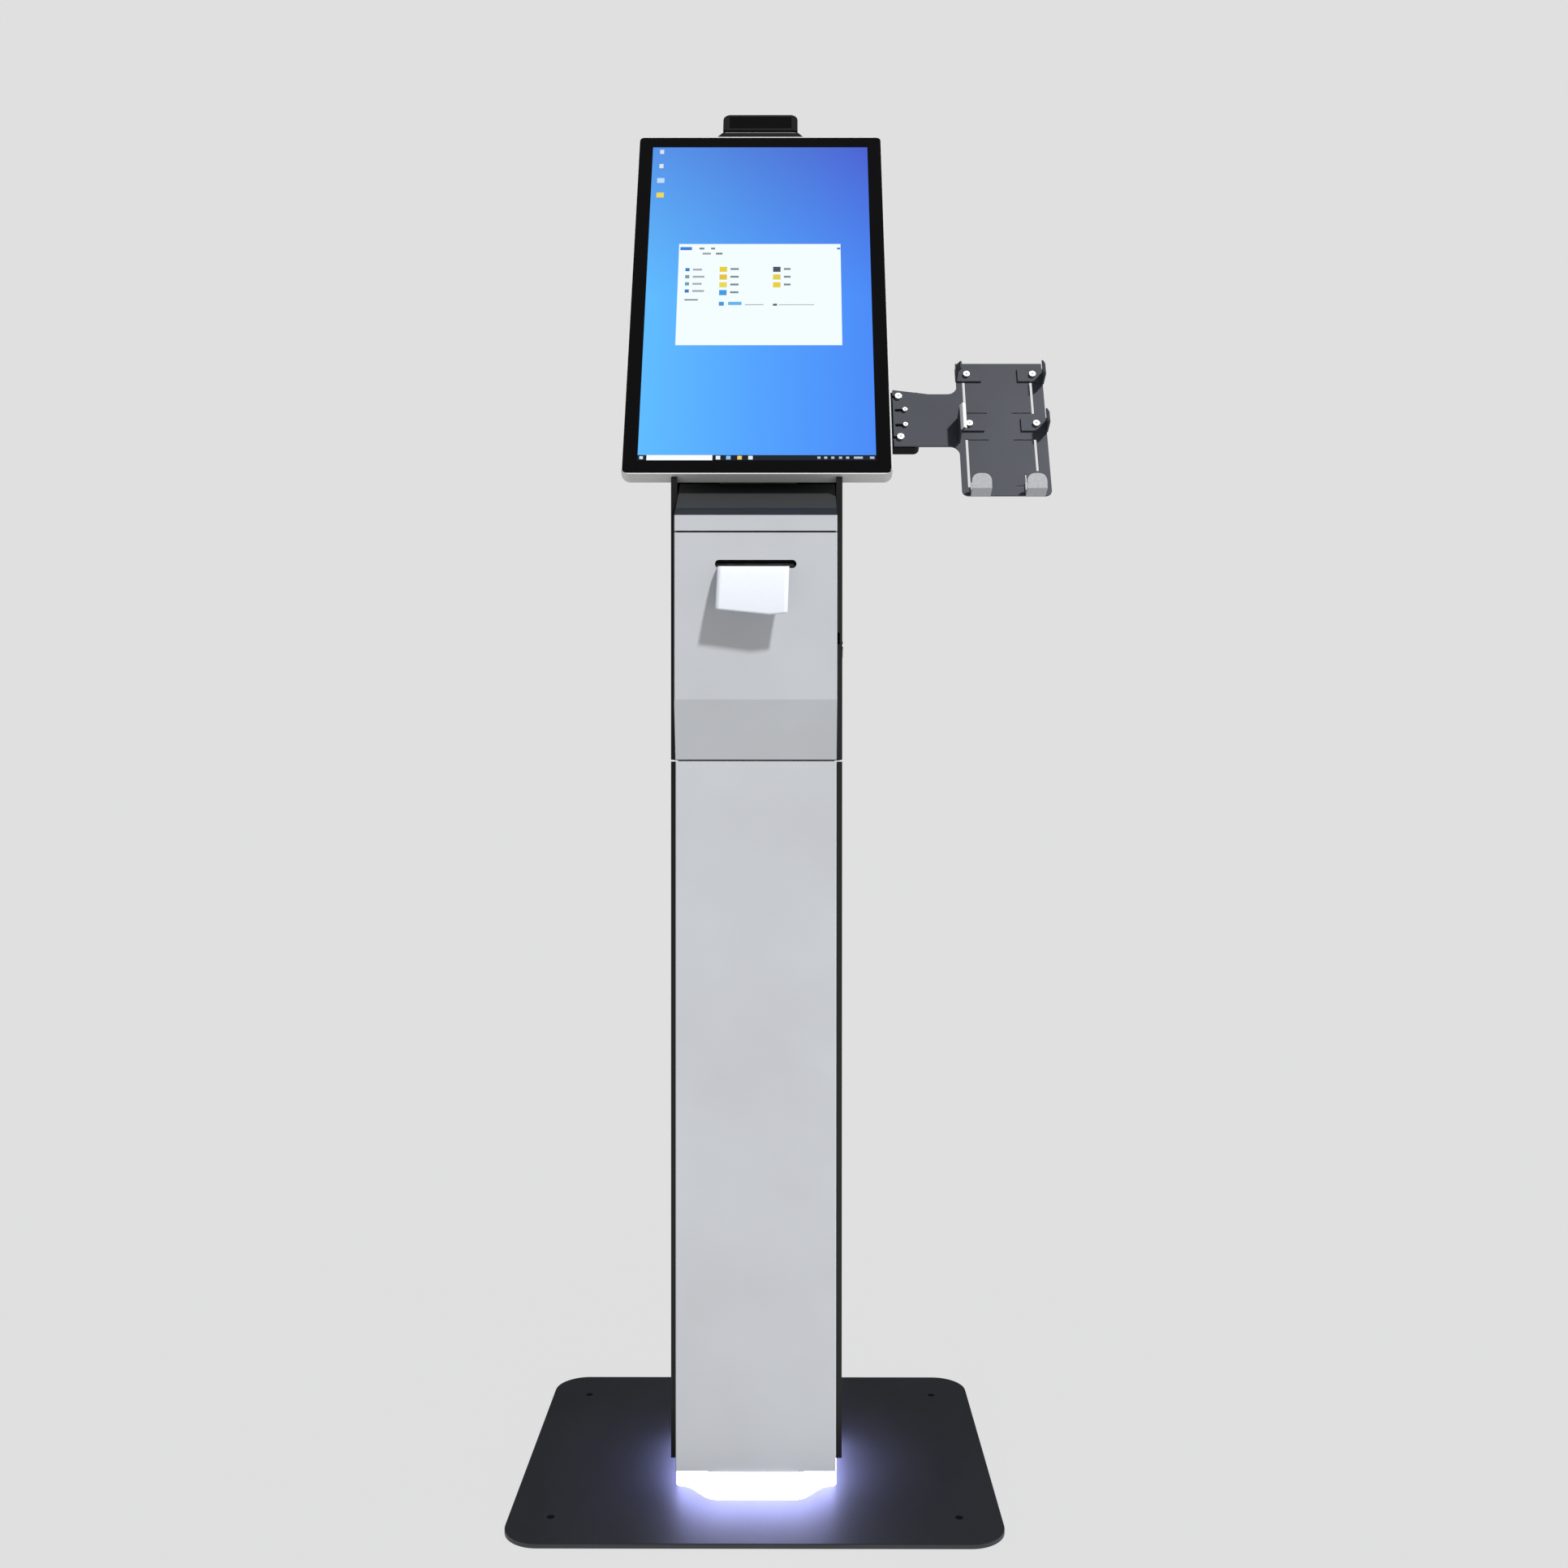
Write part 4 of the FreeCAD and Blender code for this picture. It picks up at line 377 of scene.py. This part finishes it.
black.inputs[6].default_value = (0, 0, 0, 1)
screen.node_tree.links.new(picture, black.inputs[7])
join_up(screen, black.outputs[2], shader, "Emission Color")
roughen(screen, shader, speckle(screen, place, 60, 4.0), 0.04, 0.12)
print("blocks in the picture:", len(BLOCKS), "nodes:", len(screen.node_tree.nodes))

# %% [markdown]
# ## Camera glass
# The camera's window is smoked acrylic and its lens has a coating with a blue-violet sheen, which is painted
# into the lens's base colour under a clear coat. Both pick up a little dust.

# %% Smoked window and coated lens
smoked, shader, place = start_finish("smoked_acrylic", "#060607", 0.1, IOR=1.49)
roughen(smoked, shader, speckle(smoked, place, 12, 4.0), 0.06, 0.14)
lens_glass, shader, place = start_finish("coated_lens", "#0a0a12", 0.05, IOR=1.6, Coat_Weight=0.5)
# Painted sheen: patches of the base colour are tinted blue-violet to stand in for the coating's reflection;
# the same noise gives the dust's roughness.
dust_and_sheen = speckle(lens_glass, place, 1.0, 4.0)
join_up(lens_glass, blend_colours(lens_glass, dust_and_sheen, ((0.3, "#08080f"), (0.8, "#15152a"))),
        shader, "Base Color")
roughen(lens_glass, shader, dust_and_sheen, 0.03, 0.1)
FINISHES.update({"black_glass": screen, "lens_glass": lens_glass})

# %% [markdown]
# ## Finishes on the CAD parts
# Each part's record names its material slot, so one loop gives every part its finish. The camera's window
# shares the dark glass slot with the screen, but has its own smoked finish.

# %% Give every part its finish
SLOTS = {part["node"]: part["material_slot"] for part in frame["record"]["subparts"]}
BODY_OF = {node: body for body, nodes in frame["record"]["behaviour"]["bodies"].items() for node in nodes}


def finish_for(node):
    return smoked if node == "camera_window" else FINISHES[SLOTS[node]]


for node, thing in frame["nodes"].items():
    for slot in thing.material_slots:
        slot.material = finish_for(node)
print("finished parts:", len(SLOTS))

# %% [markdown]
# ## Eased edges
# No made edge is a perfect corner: sheet metal is deburred, mouldings have a small radius, and that radius
# is what catches the light. A Bevel modifier on the part would change the CAD mesh, so each visible part is
# copied, its loose triangles are merged into clean faces, and its sharp edges are beveled by a few tenths
# of a millimetre. The copy stands for the part and moves with the same body.

# %% Ease the edges of the parts
SHARP = radians(32)


def tidy_copy(node):
    """A copy of a part's mesh as a bmesh, with its triangles merged into flat faces."""
    bm = bmesh.new()
    bm.from_mesh(frame["nodes"][node].data)
    bmesh.ops.remove_doubles(bm, verts=bm.verts, dist=0.001 * MM)
    bmesh.ops.dissolve_limit(bm, angle_limit=radians(0.3), verts=bm.verts, edges=bm.edges)
    return bm


def finished_piece(name, bm, finish, body):
    """Turns a bmesh into a piece: smooth shading with crisp creases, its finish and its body."""
    mesh = bpy.data.meshes.new(name)
    bm.to_mesh(mesh)
    bm.free()
    mesh.shade_smooth()
    mesh.set_sharp_from_angle(angle=SHARP)
    mesh.materials.append(finish)
    piece = bpy.data.objects.new(name, mesh)
    bpy.context.scene.collection.objects.link(piece)
    even = piece.modifiers.new("even_shading", "WEIGHTED_NORMAL")
    even.keep_sharp = True
    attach(piece, body)
    return piece


def eased(node, radius_mm, segments=2):
    bm = tidy_copy(node)
    sharp = [edge for edge in bm.edges if len(edge.link_faces) == 2 and edge.calc_face_angle(0) > SHARP]
    bmesh.ops.bevel(bm, geom=sharp, offset=radius_mm * MM, segments=segments, profile=0.5, affect="EDGES",
                    clamp_overlap=True, material=-1)
    piece = finished_piece(node + "_eased", bm, finish_for(node), BODY_OF[node])
    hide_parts(node)
    return piece


EASE_MM = {
    "lower_front_cover": 0.35, "printer_door": 0.35, "neck_cover": 0.35, "neck_panel": 0.3,
    "led_diffuser": 0.6, "lower_rear_shell": 0.35, "upper_rear_shell": 0.35, "touch_glass": 0.4,
    "screen_shell": 0.5, "camera_housing": 0.5, "camera_saddle": 0.8, "camera_foot": 0.3,
    "camera_window": 0.1, "cradle_plate": 0.4, "arm_block": 0.6, "arm_screws": 0.3, "cradle_hooks": 0.9,
    "hook_rivets": 0.3, "jaw_pad": 0.6, "lock_body": 0.3, "lock_cam": 0.2, "power_inlet": 0.3,
    "rocker_switch": 0.5, "slot_mouth": 0.4, "hinge_fixed_leaf": 0.2, "hinge_moving_leaf": 0.2,
    "roll_tray": 0.3, "printer_chassis": 0.3, "print_head": 0.2, "printer_lid": 0.3, "spine_bolts": 0.4,
}
for corner in ("upper_left", "upper_right", "middle_left", "middle_right"):
    EASE_MM["jaw_" + corner] = 0.4
    EASE_MM["jaw_screw_" + corner] = 0.3
for node, radius in EASE_MM.items():
    eased(node, radius)
print("parts with eased edges:", len(EASE_MM))

# %% [markdown]
# ## The paper slip
# The slip comes off a roll, so it keeps a curl: it leans out over the lower lip of the slot, falls, and its
# end bends back towards the door. A cloth simulation would lose that curl, so the slip is one strip of
# paper, cut into a grid and bent by moving its points along an arc. Its torn end is a little lower on the
# right.

# %% Paper slip
SLIP_ROWS, SLIP_COLUMNS = 28, 16
SLIP_LEFT, SLIP_WIDE, SLIP_SKEW = -40.6 * MM, 77.6 * MM, 2.3 * MM
SLIP_LONG, INSIDE_RUN, BEND_RUN = 68 * MM, 10 * MM, 12 * MM
HANG_ANGLE, CURL_BACK = radians(68), 2.4
TORN_LOW, TORN_AT, TORN_RISE = 6.5 * MM, 0.75, 2 * MM
LIP_DROP, PAPER_THICK = 0.4 * MM, 0.12 * MM
bm = bmesh.new()
bmesh.ops.create_grid(bm, x_segments=SLIP_COLUMNS, y_segments=SLIP_ROWS, size=0.5)
door_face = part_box("printer_door")[0].y
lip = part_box("ticket")[1].z
start_z = lip - LIP_DROP
bend = BEND_RUN / HANG_ANGLE
for vert in bm.verts:
    side, down = vert.co.x + 0.5, 0.5 - vert.co.y
    torn = TORN_LOW * min(1, side / TORN_AT) - TORN_RISE * max(0, side - TORN_AT) / (1 - TORN_AT)
    reach = down * (SLIP_LONG + torn)
    if reach < INSIDE_RUN:
        y, z = door_face + INSIDE_RUN - reach, start_z
    else:
        turned = min(1.0, (reach - INSIDE_RUN) / BEND_RUN) * HANG_ANGLE
        straight = max(0.0, reach - INSIDE_RUN - BEND_RUN)
        y = door_face - bend * sin(turned) - straight * cos(HANG_ANGLE) + CURL_BACK * straight ** 2
        z = start_z - bend * (1 - cos(turned)) - straight * sin(HANG_ANGLE)
    vert.co = (SLIP_LEFT + side * SLIP_WIDE - SLIP_SKEW * down, y, z)
bmesh.ops.recalc_face_normals(bm, faces=bm.faces)
slip = finished_piece("paper_slip", bm, FINISHES["thermal_paper"], BODY_OF["ticket"])
wall = slip.modifiers.new("paper_thickness", "SOLIDIFY")
wall.thickness = PAPER_THICK
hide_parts("ticket")
print("slip hangs from %.3f to %.3f m" % (min(v.co.z for v in slip.data.vertices), lip))

# %% [markdown]
# ## Floor, light and camera
# A pale floor under an even grey surround, like a studio sweep. One sun-like lamp from the upper right
# front draws the slip's shadow on the door, and the surround fills the rest softly. A sweep is lit from
# every side, so shadows nearly vanish from it. Here the lamp skips the floor and the floor plate, and the
# floor glows a little, by as much as brings it level with the surround, except under the plate. There the
# glow is turned off as painted shade, so the bolt holes stay dark.

# %% Floor
FLOOR_RADIUS = 60
bm = bmesh.new()
bmesh.ops.create_circle(bm, cap_ends=True, segments=96, radius=FLOOR_RADIUS)
floor_mesh = bpy.data.meshes.new("floor")
bm.to_mesh(floor_mesh)
bm.free()
floor = bpy.data.objects.new("floor", floor_mesh)
bpy.context.scene.collection.objects.link(floor)
SUN_POWER, FILL_POWER = 3.8, 0.3
SURROUND, FLOOR_SHARE = 0.745, 0.12
floor_paint, shader, place = start_finish("pale_floor", "#606060", 0.9, Specular_IOR_Level=0.0)
shader.inputs["Emission Color"].default_value = (1, 1, 1, 1)
# Painted shade: the floor's glow is off inside the plate's footprint, as if the plate blocked the light
# there.
SHADED_UNDER_PLATE = (0.24, 0.19, 0)
off = add(floor_paint, "VectorMath", {"operation": "ABSOLUTE"}, {0: place})
past = add(floor_paint, "VectorMath", {"operation": "SUBTRACT", 1: SHADED_UNDER_PLATE}, {0: off.outputs[0]})
parts = add(floor_paint, "SeparateXYZ", links={"Vector": past.outputs[0]})
outside_painted_shade = add(floor_paint, "Math", {"operation": "MAXIMUM"}, {0: parts.outputs["X"], 1: parts.outputs["Y"]})
glow_and_painted_shade = add(floor_paint, "MapRange", {"From Min": -MM, "From Max": MM, "To Min": 0.0,
                                     "To Max": SURROUND - FLOOR_SHARE * FILL_POWER},
           {"Value": outside_painted_shade.outputs[0]})
join_up(floor_paint, glow_and_painted_shade.outputs["Result"], shader, "Emission Strength")
clouds = speckle(floor_paint, place, 400)
join_up(floor_paint, blend_colours(floor_paint, clouds, ((0.2, "#606060"), (0.8, "#626262"))),
        shader, "Base Color")
floor_mesh.materials.append(floor_paint)

# %% Light
TO_LIGHT, LAMP_ANGLE = Vector((0.42, -0.46, 0.78)), radians(4.5)
sun = bpy.data.lights.new("key_lamp", "SUN")
sun.energy = SUN_POWER
sun.angle = LAMP_ANGLE
lamp = bpy.data.objects.new("key_lamp", sun)
lamp.rotation_euler = TO_LIGHT.to_track_quat("Z", "Y").to_euler()
bpy.context.scene.collection.objects.link(lamp)
flat_lit = bpy.data.collections.new("lit_by_the_surround_alone")
for thing in (floor, frame["nodes"]["base_plate"]):
    flat_lit.objects.link(thing)
lamp.light_linking.receiver_collection = flat_lit
for entry in flat_lit.collection_objects:
    entry.light_linking.link_state = "EXCLUDE"

world = bpy.data.worlds.new("studio")
bpy.context.scene.world = world
world.use_nodes = True
tree = world.node_tree
tree.nodes.clear()
ray = tree.nodes.new("ShaderNodeLightPath")


def background(colour, strength):
    made = tree.nodes.new("ShaderNodeBackground")
    made.inputs["Color"].default_value = colour
    made.inputs["Strength"].default_value = strength
    return made.outputs[0]


def by_ray(kind, plain, special):
    """One surround for a kind of ray and another for the rest."""
    mixed = tree.nodes.new("ShaderNodeMixShader")
    for socket, source in enumerate((ray.outputs[kind], plain, special)):
        tree.links.new(source, mixed.inputs[socket])
    return mixed.outputs[0]


FILL_COLOUR, MIRRORED_POWER = linear("#f9fbff"), 0.1
unseen = by_ray("Is Glossy Ray", background(FILL_COLOUR, FILL_POWER), background(FILL_COLOUR, MIRRORED_POWER))
whole = by_ray("Is Camera Ray", unseen, background((SURROUND, SURROUND, SURROUND, 1), 1.0))
tree.links.new(whole, tree.nodes.new("ShaderNodeOutputWorld").inputs["Surface"])
bpy.context.scene.view_settings.view_transform = "Standard"

# %% Camera
lens_data = bpy.data.cameras.new("camera")
lens_data.lens = 34.70
lens_data.sensor_width = 36
camera = bpy.data.objects.new("camera", lens_data)
camera.location = (0.0345, -1.781, 0.8076)
pitch, yaw, roll = radians(-0.465), radians(-0.128), radians(0.03)
looking = Vector((sin(yaw) * cos(pitch), cos(yaw) * cos(pitch), sin(pitch)))
aim = looking.to_track_quat("-Z", "Y").to_matrix() @ Matrix.Rotation(roll, 3, "Z")
camera.rotation_euler = aim.to_euler()
bpy.context.scene.collection.objects.link(camera)
bpy.context.scene.camera = camera
